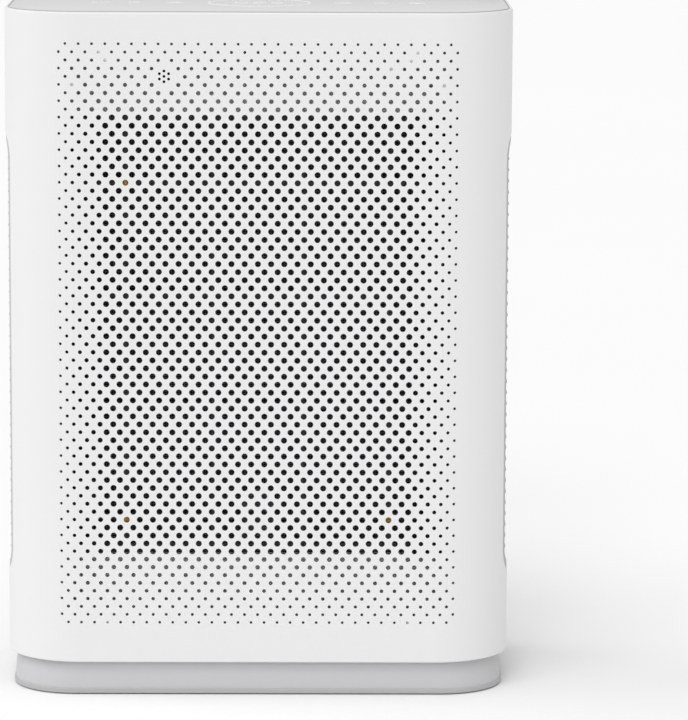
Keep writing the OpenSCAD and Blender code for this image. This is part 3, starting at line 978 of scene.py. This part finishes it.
@dataclass
class SideVent:
    """One grey louvred outlet, let into a side of the body."""

    body: Body
    side: int
    recess: float = 0.5 * MM
    frame_width: float = 6 * MM
    slat_count: int = 38
    slat_depth: float = 6.5 * MM
    slat_thick: float = 1.3 * MM
    slat_tilt: float = math.radians(38)

    def build(self) -> None:
        """Makes the vent's frame, its slats and the bar behind them."""
        node = "vent_left" if self.side < 0 else "vent_right"
        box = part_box(node)
        outline = self.body.outline
        edge = VENT_FLANGE + VENT_GAP
        inset_plan = Outline(outline.width - 2 * self.recess, outline.depth - 2 * self.recess,
                             outline.radius - self.recess)
        front, back = (inset_plan.along_side(y) for y in (box[0].y + edge, box[1].y - edge))
        low, high = box[0].z + edge, box[1].z - edge
        sheet = Sheet(inset_plan, 2.2 * MM)
        outer = rounded_loop((front, low), (back, high), 19.7 * MM, 14)
        width = self.frame_width
        inner = rounded_loop((front + width, low + width), (back - width, high - width), 14 * MM, 12)
        sheet.loop([(s * self.side, z) for s, z in outer], 0.7 * MM)
        sheet.loop([(s * self.side, z) for s, z in inner], 0.5 * MM)
        seam = inset_plan.flat + inset_plan.quarter
        lines = [seam - 4 * MM * i for i in range(1, 5)] + [seam + 0.1 * MM]
        sheet.bend_lines([s * self.side for s in lines], low, high)
        name = "left" if self.side < 0 else "right"
        rim = sheet.solid(f"vent_frame_{name}", VENT_GREY, "cabinet")
        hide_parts(node)
        mesh = Mesh()
        self._slats(mesh, inset_plan, front + width * 0.5, back - width * 0.5, low + width, high - width)
        mesh.build(f"vent_slats_{name}", VENT_GREY, "cabinet", "vent_grey")

    def _slats(self, mesh: Mesh, plan: Outline, front: float, back: float, low: float, high: float) -> None:
        """Sloping slats that follow the body's side, with an upright bar behind them.

        Args:
            mesh: Where they go.
            plan: The vent's outline.
            front: Where they start along it.
            back: Where they end.
            low: The opening's lower edge.
            high: Its upper edge.
        """
        samples = np.linspace(front, back, 13) * self.side
        pitch = (high - low) / self.slat_count
        half = self.slat_thick / 2
        lean = (math.cos(self.slat_tilt), math.sin(self.slat_tilt))
        section = []
        for along, across in ((0, -1), (0, 1), (1, 1), (1, -1)):
            inward, up = self.slat_depth * along, half * across
            depth = 0.7 * MM + inward * lean[0] - up * lean[1] + half
            section.append((depth, inward * lean[1] + up * lean[0]))
        for i in range(self.slat_count):
            middle = low + pitch * (i + 0.5) - self.slat_depth * lean[1] / 2
            self._sweep(mesh, plan, samples, [(inward, middle + up) for inward, up in section])
        centre = (front + back) / 2
        bar = np.linspace(centre - 1.5 * MM, centre + 1.5 * MM, 3) * self.side
        self._sweep(mesh, plan, bar, [(3 * MM, low), (3 * MM, high), (8 * MM, high), (8 * MM, low)])

    def _sweep(self, mesh: Mesh, plan: Outline, samples: np.ndarray, section: Sequence[Point2]) -> None:
        """Carries a four-point section of (inset, height) along the outline."""
        columns = []
        for inward, z in section:
            spots, _ = plan.bend(samples, inward)
            columns.append([(x, y, z) for x, y in spots.tolist()])
        points = [column[i] for i in range(len(samples)) for column in columns]
        faces = []
        flip = self.side < 0
        for i in range(len(samples) - 1):
            for j in range(4):
                k = (j + 1) % 4
                face = (4 * i + j, 4 * i + k, 4 * i + 4 + k, 4 * i + 4 + j)
                faces.append(face[::-1] if flip else face)
        last = 4 * (len(samples) - 1)
        caps = [(3, 2, 1, 0), (last, last + 1, last + 2, last + 3)]
        faces += [c[::-1] for c in caps] if flip else caps
        mesh.add(points, faces)


@dataclass
class ControlPanel:
    """The touch plate in the body's top and the marks on it."""

    body: Body
    edge: float = 0.7 * MM
    mark_height: float = 0.08 * MM
    line: float = 1.1 * MM
    icon_x: tuple[float, ...] = (-122 * MM, -94 * MM, -65 * MM, 65 * MM, 94 * MM, 122 * MM)
    icon_size: float = 6.5 * MM
    dial_radius: float = 39 * MM
    digit_height: float = 15 * MM
    top: float = 0.0

    def build(self) -> None:
        """Makes the plate and its marks."""
        low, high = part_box("control_plate")
        width, depth, radius = high.x - low.x, high.y - low.y, CORNER_RADIUS - 3.1 * MM
        levels = [Level(width - self.edge, depth - self.edge, radius - self.edge / 2, low.z),
                  Level(width, depth, radius, low.z + self.edge / 2)]
        for i in range(5):
            angle = math.pi / 2 * i / 4
            drawn_in = self.edge * (1 - math.cos(angle))
            levels.append(Level(width - 2 * drawn_in, depth - 2 * drawn_in, radius - drawn_in,
                                high.z - self.edge + self.edge * math.sin(angle)))
        mesh = Mesh()
        loft(mesh, levels, arc_steps=24)
        plate = mesh.build("touch_plate", PANEL_GREY, "cabinet", "panel_grey")
        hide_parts("control_plate")
        self.top = high.z
        self._seal()
        self._marks()

    def _seal(self) -> None:
        """A fine grey ring that stands round the plate, between it and the shells: its grey is painted shade
        that draws the shadowed gap line there.
        """
        outline = self.body.outline
        outer, inner = SHELL_WALL + 0.05 * MM, SHELL_WALL + 0.53 * MM
        low, high = self.top - 4 * MM, self.top + 0.2 * MM
        mesh, levels = Mesh(), []
        for inset, z in ((outer, low), (outer, high), (inner, high), (inner, low)):
            width, depth = outline.width - 2 * inset, outline.depth - 2 * inset
            levels.append(Level(width, depth, outline.radius - inset, z))
        loft(mesh, levels, arc_steps=24, closed=True)
        # The ring's grey is painted shade for the gap line round the plate.
        mesh.build("gap_shade_ring", GAP_SHADE_GREY, "cabinet", "panel_grey", 40)

    def _marks(self) -> None:
        """Draws the dial, its digits and the touch marks as thin inlays."""
        mesh = Mesh()
        self._arc(mesh, (0, 0), self.dial_radius, 0, 360, 1.6 * MM)
        self._arc(mesh, (0, 0), self.dial_radius - 4 * MM, 200, 340, self.line)
        for i in range(24):
            angle = math.radians(15 * i)
            spot = (29 * MM * math.cos(angle), 29 * MM * math.sin(angle))
            if abs(spot[1]) > 11 * MM:
                self._disc(mesh, spot, 0.8 * MM)
        for x, shown in ((-14 * MM, "abcdef"), (0.0, "abged"), (14 * MM, "afgcd")):
            self._digit(mesh, x, shown)
        icons = (self._power, self._moon, self._fan, self._clock, self._lock, self._air)
        for x, icon in zip(self.icon_x, icons, strict=True):
            icon(mesh, x)
        mesh.build("touch_marks", MARK_WHITE, "cabinet", "light_guide")

    def _prism(self, mesh: Mesh, ring: Sequence[Point2]) -> None:
        """Adds a thin solid over a convex ring of points."""
        count = len(ring)
        low, high = self.top - 0.1 * MM, self.top + self.mark_height
        points = [(x, y, z) for z in (low, high) for x, y in ring]
        faces = [tuple(range(count))[::-1], tuple(range(count, 2 * count))]
        faces += [(i, (i + 1) % count, (i + 1) % count + count, i + count) for i in range(count)]
        mesh.add(points, faces)

    def _disc(self, mesh: Mesh, centre: Point2, radius: float) -> None:
        """Adds a round dot."""
        self._prism(mesh, circle(*centre, radius, 16))

    def _bar(self, mesh: Mesh, start: Point2, end: Point2, width: float | None = None) -> None:
        """Adds a straight stroke."""
        width = width or self.line
        run = Vector((end[0] - start[0], end[1] - start[1])).normalized() * width / 2
        a, b = Vector(start), Vector(end)
        across = Vector((-run.y, run.x))
        corners = (a - across, b - across, b + across, a + across)
        self._prism(mesh, [tuple(p) for p in corners])

    def _arc(self, mesh: Mesh, centre: Point2, radius: float, start: float, end: float, width: float) -> None:
        """Adds a curved stroke between two angles, in degrees."""
        steps = max(6, math.ceil((end - start) / 6))
        for i in range(steps):
            a, b = (math.radians(start + (end - start) * (i + k) / steps) for k in (0, 1))
            ring = [(radius + side * width / 2, angle) for side, angle in ((-1, a), (1, a), (1, b), (-1, b))]
            self._prism(mesh, [(centre[0] + r * math.cos(t), centre[1] + r * math.sin(t)) for r, t in ring])

    def _digit(self, mesh: Mesh, x: float, shown: str) -> None:
        """Adds one seven-segment digit: a is the top stroke, and g the middle one."""
        w, h = self.digit_height * 0.28, self.digit_height / 2
        ends = {
            "a": ((-w, h), (w, h)), "b": ((w, h), (w, 0)), "c": ((w, 0), (w, -h)),
            "d": ((w, -h), (-w, -h)), "e": ((-w, -h), (-w, 0)), "f": ((-w, 0), (-w, h)),
            "g": ((-w, 0), (w, 0)),
        }
        for key in shown:
            start, end = (Vector(p) + Vector((x, 0)) for p in ends[key])
            short = (end - start) * 0.1
            self._bar(mesh, tuple(start + short), tuple(end - short), 1.5 * MM)

    def _power(self, mesh: Mesh, x: float) -> None:
        """A ring with a gap and an upright stroke."""
        self._arc(mesh, (x, 0), self.icon_size, 120, 420, self.line)
        self._bar(mesh, (x, 1 * MM), (x, self.icon_size + 1 * MM))

    def _moon(self, mesh: Mesh, x: float) -> None:
        """A crescent."""
        self._arc(mesh, (x, 0), self.icon_size, 60, 300, self.line)
        self._arc(mesh, (x + 3.4 * MM, 0), self.icon_size * 0.84, 90, 270, self.line)

    def _fan(self, mesh: Mesh, x: float) -> None:
        """Three blades round a hub."""
        self._disc(mesh, (x, 0), 1.3 * MM)
        for turn in (90, 210, 330):
            angle = math.radians(turn)
            centre = (x + 3.6 * MM * math.cos(angle), 3.6 * MM * math.sin(angle))
            self._arc(mesh, centre, 2.6 * MM, turn - 150, turn + 150, self.line)

    def _clock(self, mesh: Mesh, x: float) -> None:
        """A clock face with two hands."""
        self._arc(mesh, (x, 0), self.icon_size, 0, 360, self.line)
        self._bar(mesh, (x, -0.4 * MM), (x, 4.2 * MM))
        self._bar(mesh, (x - 0.4 * MM, 0), (x + 3.4 * MM, 0))

    def _lock(self, mesh: Mesh, x: float) -> None:
        """A padlock."""
        self._arc(mesh, (x, 1 * MM), 3.4 * MM, 0, 180, self.line)
        corners = [(x - 5 * MM, -6 * MM), (x + 5 * MM, -6 * MM), (x + 5 * MM, 1 * MM), (x - 5 * MM, 1 * MM)]
        for start, end in zip(corners, corners[1:] + corners[:1], strict=True):
            self._bar(mesh, start, end)

    def _air(self, mesh: Mesh, x: float) -> None:
        """Three short waves, for moving air."""
        for y in (-4 * MM, 0.0, 4 * MM):
            self._arc(mesh, (x - 3 * MM, y - 2 * MM), 3.6 * MM, 40, 140, self.line)
            self._arc(mesh, (x + 3 * MM, y + 2.6 * MM), 3.6 * MM, 220, 320, self.line)


@dataclass
class Plinth:
    """The skirt under the body and the lip that stands on the floor."""

    body: Body
    neck_inset: float = 6.5 * MM
    skirt_wall: float = 2.5 * MM
    lip_edge: float = 0.9 * MM

    def build(self) -> None:
        """Makes the skirt and the lip."""
        self._skirt()
        self._lip()

    def _skirt(self) -> None:
        """A thin, upright skin from the lip to just under the body's floor."""
        low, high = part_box("plinth_skirt")
        outline = self.body.outline
        wide = (high.x - low.x, high.y - low.y, 48 * MM)
        narrow = (outline.width - 2 * self.neck_inset, outline.depth - 2 * self.neck_inset,
                  outline.radius - self.neck_inset)
        top, steps, wall = self.body.floor_z - 0.2 * MM, 8, self.skirt_wall
        outer = []
        for i in range(steps + 1):
            drawn_in = 1 - math.cos(math.pi / 2 * i / steps)
            height = low.z + (top - low.z) * i / steps
            w, d, r = (a + (b - a) * drawn_in for a, b in zip(wide, narrow, strict=True))
            outer.append(Level(w, d, r, height))
        inner = [Level(v.width - 2 * wall, v.depth - 2 * wall, v.radius - wall, v.height)
                 for v in reversed(outer)]
        mesh = Mesh()
        loft(mesh, outer + inner, arc_steps=20, closed=True)
        skirt = mesh.build("skirt_skin", BASE_GREY, "cabinet", "base_grey", 50)
        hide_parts("plinth_skirt")

    def _lip(self) -> None:
        """A ring with rounded edges."""
        low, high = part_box("base_lip")
        width, depth, radius = high.x - low.x, high.y - low.y, 49 * MM
        inner = 12 * MM
        levels = []
        for i in range(9):
            angle = -math.pi / 2 + math.pi * i / 8
            drawn_in = self.lip_edge * (1 - math.cos(angle))
            middle = low.z + self.lip_edge if i < 4.5 else high.z - self.lip_edge
            levels.append(Level(width - 2 * drawn_in, depth - 2 * drawn_in, radius - drawn_in,
                                middle + self.lip_edge * math.sin(angle)))
        for z in (high.z, low.z):
            levels.append(Level(width - 2 * inner, depth - 2 * inner, radius - inner, z))
        mesh = Mesh()
        loft(mesh, levels, arc_steps=20, closed=True)
        lip = mesh.build("lip_ring", LIP_GREY, "cabinet", "base_grey")
        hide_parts("base_lip")


@dataclass
class HandGrip:
    """The pocket in the back that a hand lifts the purifier by."""

    wall: float = 2.5 * MM
    mouth_radius: float = 14 * MM
    floor_radius: float = 5 * MM

    def build(self) -> None:
        """Makes the pocket with a rounded floor."""
        low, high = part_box("handle_pocket")
        centre = (low + high) / 2
        width, height = high.x - low.x, high.z - low.z
        lip = 4 * MM
        floor = low.y + self.wall
        levels = []
        for i in range(6):
            angle = math.pi / 2 * i / 5
            drawn_in = self.floor_radius * (1 - math.sin(angle))
            narrower = 2 * lip + 2 * drawn_in
            levels.append(Level(width - narrower, height - narrower, self.mouth_radius - drawn_in,
                                floor + self.floor_radius * (1 - math.cos(angle))))
        levels.append(Level(width - 2 * lip, height - 2 * lip, self.mouth_radius, high.y))
        levels.append(Level(width, height, self.mouth_radius + lip, high.y))
        levels.append(Level(width, height, self.mouth_radius + lip, low.y))
        mesh = Mesh()
        loft(mesh, levels, facing_back, (centre.x, 0, centre.z), 10)
        pocket = mesh.build("grip_pocket", WHITE_SHELL, "cabinet", "white_shell", 50)
        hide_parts("handle_pocket")


@dataclass
class PreFilter:
    """The dark net in its frame, and the brass studs that pin it."""

    thread: float = 0.42 * MM
    pitch: float = 2.0 * MM

    def build(self) -> None:
        """Makes the net from crossing threads, and the studs."""
        low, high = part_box("prefilter_mesh")
        mesh = Mesh()
        middle = (low.y + high.y) / 2
        for axis, other in ((0, 2), (2, 0)):
            count = int((high[axis] - low[axis]) / self.pitch)
            depth = (low.y + 0.05 * MM, middle) if axis == 0 else (middle, high.y - 0.05 * MM)
            for i in range(count):
                at = low[axis] + (high[axis] - low[axis]) * (i + 0.5) / count
                a, b = [0.0] * 3, [0.0] * 3
                a[axis], b[axis] = at - self.thread / 2, at + self.thread / 2
                a[1], b[1] = depth
                a[other], b[other] = low[other], high[other]
                box_solid(mesh, tuple(a), tuple(b))
        net = mesh.build("prefilter_net", NET, "prefilter", "dark_mesh")
        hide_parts("prefilter_mesh")
        self._studs()

    def _studs(self) -> None:
        """Domed studs with a rim and a dimple."""
        frame_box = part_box("prefilter_frame")
        low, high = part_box("filter_studs")
        radius = 4.5 * MM
        left, right, bottom, top = low.x + radius, high.x - radius, low.z + radius, high.z - radius
        spots = ((left, bottom), (right, bottom), (left, top))
        profile = [(1.2, 0.45), (1.8, 0.1), (2.9, 0.0), (3.9, 0.25), (4.4, 0.6), (4.5, 0.9), (4.5, 1.2)]
        mesh = Mesh()
        for x, z in spots:
            lathe(mesh, [(r * MM, h * MM) for r, h in profile], (x, frame_box[0].y - 1.2 * MM, z), steps=32)
        studs = mesh.build("brass_studs", BRASS, "prefilter", "brass")
        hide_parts("filter_studs")


@dataclass
class HepaPack:
    """The deep filter: carbon honeycomb, pleated paper, foam seal and pull ribbon."""

    cell: float = 9 * MM
    web: float = 0.9 * MM
    pleats: int = 48
    paper: float = 0.8 * MM

    def build(self) -> None:
        """Makes all the pack's soft parts."""
        self._honeycomb()
        self._paper()
        self._seal()
        self._ribbon()

    def _honeycomb(self) -> None:
        """A black grid of hexagons with carbon felt behind it."""
        low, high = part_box("carbon_pad")
        front, back = low.y, low.y + 1.7 * MM
        flat = Outline(2.0, 2 * abs(front), 0.001)
        sheet = Sheet(flat, back - front)
        sheet.loop([(low.x, low.z), (high.x, low.z), (high.x, high.z), (low.x, high.z)], 0.2 * MM)
        margin = 4 * MM
        rise = self.cell * math.sqrt(3) / 2
        rows = int((high.z - low.z - 2 * margin - self.cell) / rise)
        columns = int((high.x - low.x - 2 * margin - self.cell * 1.5) / self.cell)
        for j in range(rows + 1):
            for i in range(columns + 1):
                x = (i - columns / 2) * self.cell + (j % 2 - 0.5) * self.cell / 2
                z = (low.z + high.z) / 2 + (j - rows / 2) * rise
                ring = [math.radians(30 + 60 * k) for k in range(6)]
                reach = (self.cell - self.web) / math.sqrt(3)
                sheet.loop([(x + reach * math.cos(a), z + reach * math.sin(a)) for a in ring])
        grid = sheet.solid("carbon_grid", BLACK, "hepa")
        mesh = Mesh()
        centre = (low + high) / 2
        levels = [Level(high.x - low.x - e, high.z - low.z - e, 2 * MM, y) for e, y in (
            (0.6 * MM, back), (0.0, back + 0.3 * MM), (0.0, high.y))]
        loft(mesh, levels, facing_back, (centre.x, 0, centre.z), 4)
        felt = mesh.build("carbon_felt_pad", FELT, "hepa", "carbon_felt")
        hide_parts("carbon_pad")
        LOG.info("%s stands in front of %s", grid.name, felt.name)

    def _paper(self) -> None:
        """One sheet of paper folded into rounded pleats."""
        low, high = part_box("hepa_pleats")
        step = (high.x - low.x) / self.pleats
        middle, swing = (low.y + high.y) / 2, (high.y - low.y - self.paper) / 2
        samples = 12
        total = self.pleats * samples
        line = []
        for i in range(total + 1):
            phase = i / samples
            fold = math.asin(0.985 * math.cos(math.pi * phase)) / math.asin(0.985)
            line.append((low.x + step * phase, middle - swing * fold))
        sheets = []
        for side in (-0.5, 0.5):
            sheets.append([(x, y + side * self.paper) for x, y in line])
        ring = sheets[0] + sheets[1][::-1]
        heights = (low.z, high.z)
        count = len(ring)
        points = [(x, y, z) for z in heights for x, y in ring]
        faces = [(i, (i + 1) % count, (i + 1) % count + count, i + count) for i in range(count)]
        for start, flip in ((0, True), (count, False)):
            for i in range(total):
                face = (start + i, start + i + 1, start + count - 2 - i, start + count - 1 - i)
                faces.append(face[::-1] if flip else face)
        mesh = Mesh()
        mesh.add(points, faces)
        pack = mesh.build("pleated_paper", PAPER, "hepa", "hepa_paper", 60)
        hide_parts("hepa_pleats")

    def _seal(self) -> None:
        """A soft ring round the pack's back edge."""
        low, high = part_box("hepa_seal")
        centre = (low + high) / 2
        thick = high.y - low.y
        width, height, band = high.x - low.x, high.z - low.z, 5 * MM
        levels = []
        for i in range(7):
            angle = math.pi * i / 6
            out = band / 2 * math.cos(angle)
            rise = thick * math.sqrt(max(0.0, math.sin(angle)))
            levels.append(Level(width - band + 2 * out, height - band + 2 * out, 1 * MM, low.y + rise))
        mesh = Mesh()
        loft(mesh, levels, facing_back, (centre.x, 0, centre.z), 4, closed=True)
        seal = mesh.build("foam_ring", FOAM, "hepa", "seal_foam", 60)
        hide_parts("hepa_seal")

    def _ribbon(self) -> None:
        """A flat ribbon with a hemmed end."""
        low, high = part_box("pull_tab")
        centre = (low + high) / 2
        width, height = high.x - low.x, high.z - low.z
        mesh = Mesh()
        for inset, near in ((0.0, low.y + 0.35 * MM), (3 * MM, low.y)):
            levels = [Level(width - 2 * inset - e, height - 2 * inset - e, 8 * MM - inset, y) for e, y in (
                (0.4 * MM, near), (0.0, near + 0.15 * MM), (0.0, high.y))]
            loft(mesh, levels, facing_back, (centre.x, 0, centre.z), 8)
        ribbon = mesh.build("pull_ribbon_tab", RIBBON, "hepa", "pull_ribbon")
        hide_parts("pull_tab")


@dataclass
class Fan:
    """The impeller with swept blades."""

    blades: int = 30
    blade_thick: float = 1.4 * MM
    lean: float = math.radians(40)

    def build(self) -> None:
        """Makes the impeller: back plate with its hub, front ring and blades."""
        low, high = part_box("impeller")
        centre = (0.0, low.y, (low.z + high.z) / 2)
        radius, length = high.x, high.y - low.y
        mesh = Mesh()
        plate = 2.5 * MM
        rim = radius / MM
        dish = [(7, 8), (22, 8), (24, 10), (24, 33), (30, 36.6), (60, 37.2), (100, 37.0), (rim, 37.6),
                (rim, 39.2), (60, 39.5), (28, 39.5), (20, 36), (7, 36)]
        lathe(mesh, [(r * MM, h * MM) for r, h in dish], centre, steps=72, closed=True)
        shroud = [(84, 0.3), (86, 0.0), (rim - 0.3, 0.4), (rim, 1.0), (rim - 0.3, 1.8), (84, 2)]
        lathe(mesh, [(r * MM, h * MM) for r, h in shroud], centre, steps=72, closed=True)
        for i in range(self.blades):
            self._blade(mesh, centre, math.tau * i / self.blades, radius, length - plate)
        impeller = mesh.build("impeller_wheel", IMPELLER, "rotor", "impeller_plastic")
        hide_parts("impeller")

    def _blade(self, mesh: Mesh, centre: Point3, turn: float, radius: float, length: float) -> None:
        """Adds one curved blade.

        Args:
            mesh: Where it goes.
            centre: The impeller's centre, at its front face.
            turn: The blade's place round the axis.
            radius: The impeller's radius.
            length: How far the blade reaches along the axis.
        """
        steps = 7
        inner, outer = radius - 21 * MM, radius - 1 * MM
        sides: list[list[Point2]] = [[], []]
        for i in range(steps + 1):
            share = i / steps
            reach = inner + (outer - inner) * share
            angle = turn - self.lean * 0.36 * share**1.4
            half = self.blade_thick / 2 * (0.45 + 1.1 * math.sin(math.pi * (0.15 + 0.8 * share)))
            for side, sign in zip(sides, (-1, 1), strict=True):
                spread = angle + sign * half / reach
                side.append((reach * math.cos(spread), reach * math.sin(spread)))
        ring = sides[0] + sides[1][::-1]
        count = len(ring)
        points = [(centre[0] + x, centre[1] + y, centre[2] + z) for y in (1 * MM, length) for x, z in ring]
        faces = [(i + count, (i + 1) % count + count, (i + 1) % count, i) for i in range(count)]
        faces += [tuple(range(count)), tuple(range(count, 2 * count))[::-1]]
        mesh.add(points, faces)


@dataclass
class CadParts:
    """CAD nodes that keep their shape: each gets its finish, and the listed ones get eased edges."""

    finishes: dict[str, Finish] = field(default_factory=lambda: {
        "cover_magnets": MAGNET, "filter_bay": WHITE_INNER, "catch_plates": STEEL, "shell_screws": STEEL,
        "top_deck": WHITE_INNER, "control_board": BOARD, "touch_springs": STEEL, "display_ring": GUIDE,
        "dust_sensor": BLACK, "sensor_gasket": RUBBER, "interlock_switch": BLACK, "interlock_plunger": ORANGE,
        "prefilter_frame": DARK, "hepa_frame": CARD, "finger_guard": BLACK, "inlet_ring": WHITE_INNER,
        "fan_housing": WHITE_INNER, "hub_insert": BRASS, "shaft_nut": STEEL, "motor_shaft": STEEL,
        "rotor_core": CASTING, "motor_case": CASTING, "stator": COPPER, "front_bearing": STEEL,
        "rear_bearing": STEEL, "motor_plate": STEEL, "motor_dampers": RUBBER, "motor_screws": STEEL,
        "power_inlet": BLACK, "inlet_pins": STEEL, "power_board": BOARD, "board_parts": BLACK,
        "base_tray": WHITE_SHELL, "bottom_plate": BASE_GREY, "rubber_feet": RUBBER, "base_screws": STEEL,
    })
    eased: dict[str, float] = field(default_factory=lambda: {
        "prefilter_frame": 0.5 * MM, "hepa_frame": 0.5 * MM, "motor_case": 1.2 * MM,
        "power_inlet": 0.5 * MM, "top_deck": 0.4 * MM, "fan_housing": 0.5 * MM,
        "rubber_feet": 0.4 * MM, "board_parts": 0.6 * MM, "cover_magnets": 0.4 * MM, "catch_plates": 0.4 * MM,
        "motor_plate": 0.4 * MM, "bottom_plate": 0.5 * MM,
    })

    def build(self) -> None:
        """Dresses every CAD node that stays in view."""
        for node, finish in self.finishes.items():
            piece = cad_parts[node]
            piece.data.materials.clear()
            piece.data.materials.append(finish.material())
            weld = piece.modifiers.new("weld", "WELD")
            weld.merge_threshold = 0.001 * MM
            if node in self.eased:
                bevel = piece.modifiers.new("edges", "BEVEL")
                bevel.width = self.eased[node]
                bevel.segments = 2
                bevel.limit_method = "ANGLE"
                bevel.angle_limit = math.radians(40)
                bevel.harden_normals = False
            LOG.info("%s keeps its CAD shape", node)


# ---------------------------------------------------------------- studio


@dataclass(frozen=True)
class Lamp:
    """A far, soft light: its direction in degrees, its strength and how wide it looks."""

    name: str
    azimuth: float
    height: float
    strength: float
    spread: float

    def build(self) -> None:
        """Adds the lamp to the scene."""
        data = bpy.data.lights.new(self.name, "SUN")
        data.energy = self.strength
        data.angle = math.radians(self.spread)
        lamp = bpy.data.objects.new(self.name, data)
        lamp.rotation_euler = (math.radians(90 - self.height), 0.0, math.radians(self.azimuth))
        bpy.context.scene.collection.objects.link(lamp)


@dataclass
class Studio:
    """A pale floor, soft lights and the camera."""

    lens: float = 207.175
    sensor: float = 36.0
    eye: Point3 = (31.8 * MM, -3202.7 * MM, 763.5 * MM)
    pitch: float = 9.179
    yaw: float = -0.621
    roll: float = 0.253
    sky: float = 0.59
    lamps: tuple[Lamp, ...] = (
        Lamp("side_lamp", -100, 30, 0.553, 40),
        Lamp("low_lamp", -10, 33, 0.38, 16),
        Lamp("top_lamp", 0, 80, 0.576, 50),
        Lamp("key_lamp", -30, 58, 0.57, 30),
    )

    def build(self) -> None:
        """Makes the floor, the lights, the sky and the camera."""
        self._camera()
        self._floor()
        for lamp in self.lamps:
            lamp.build()
        world = bpy.data.worlds.new("studio")
        world.use_nodes = True
        sky = world.node_tree.nodes["Background"]
        sky.inputs["Color"].default_value = (1, 1, 1, 1)
        sky.inputs["Strength"].default_value = self.sky
        bpy.context.scene.world = world
        bpy.context.scene.view_settings.view_transform = "Standard"

    def _floor(self) -> None:
        """A wide, plain, pale floor."""
        data = bpy.data.meshes.new("floor")
        far = 30.0
        data.from_pydata([(-far, -far, 0), (far, -far, 0), (far, far, 0), (-far, far, 0)], [], [(0, 1, 2, 3)])
        floor = bpy.data.objects.new("floor", data)
        bpy.context.scene.collection.objects.link(floor)
        shader = Shader("floor_paper")
        clouds = shader.noise(0.8, 2.0)
        shader.set(Base_Color=shader.tint(clouds, (0.9, 0.9, 0.9), (0.92, 0.92, 0.92)), Roughness=0.9)
        data.materials.append(shader.material)

    def _camera(self) -> None:
        """The camera: a long lens, with the sensor's width along the picture's longer side."""
        data = bpy.data.cameras.new("camera")
        data.sensor_width = self.sensor
        data.lens = self.lens
        data.clip_end = 100.0
        camera = bpy.data.objects.new("camera", data)
        yaw, tilt, roll = (math.radians(a) for a in (self.yaw, 90 - self.pitch, self.roll))
        aim = Matrix.Rotation(yaw, 4, "Z") @ Matrix.Rotation(tilt, 4, "X") @ Matrix.Rotation(roll, 4, "Z")
        camera.matrix_world = Matrix.Translation(self.eye) @ aim
        bpy.context.scene.collection.objects.link(camera)
        bpy.context.scene.camera = camera


def main() -> None:
    logging.basicConfig(level=logging.INFO, format="%(message)s")
    body = Body.read()
    Studio().build()
    FrontCover(body).build()
    RearShell(body).build()
    for side in (-1, 1):
        SideVent(body, side).build()
    ControlPanel(body).build()
    Plinth(body).build()
    HandGrip().build()
    PreFilter().build()
    HepaPack().build()
    Fan().build()
    CadParts().build()


if __name__ == "__main__":
    main()
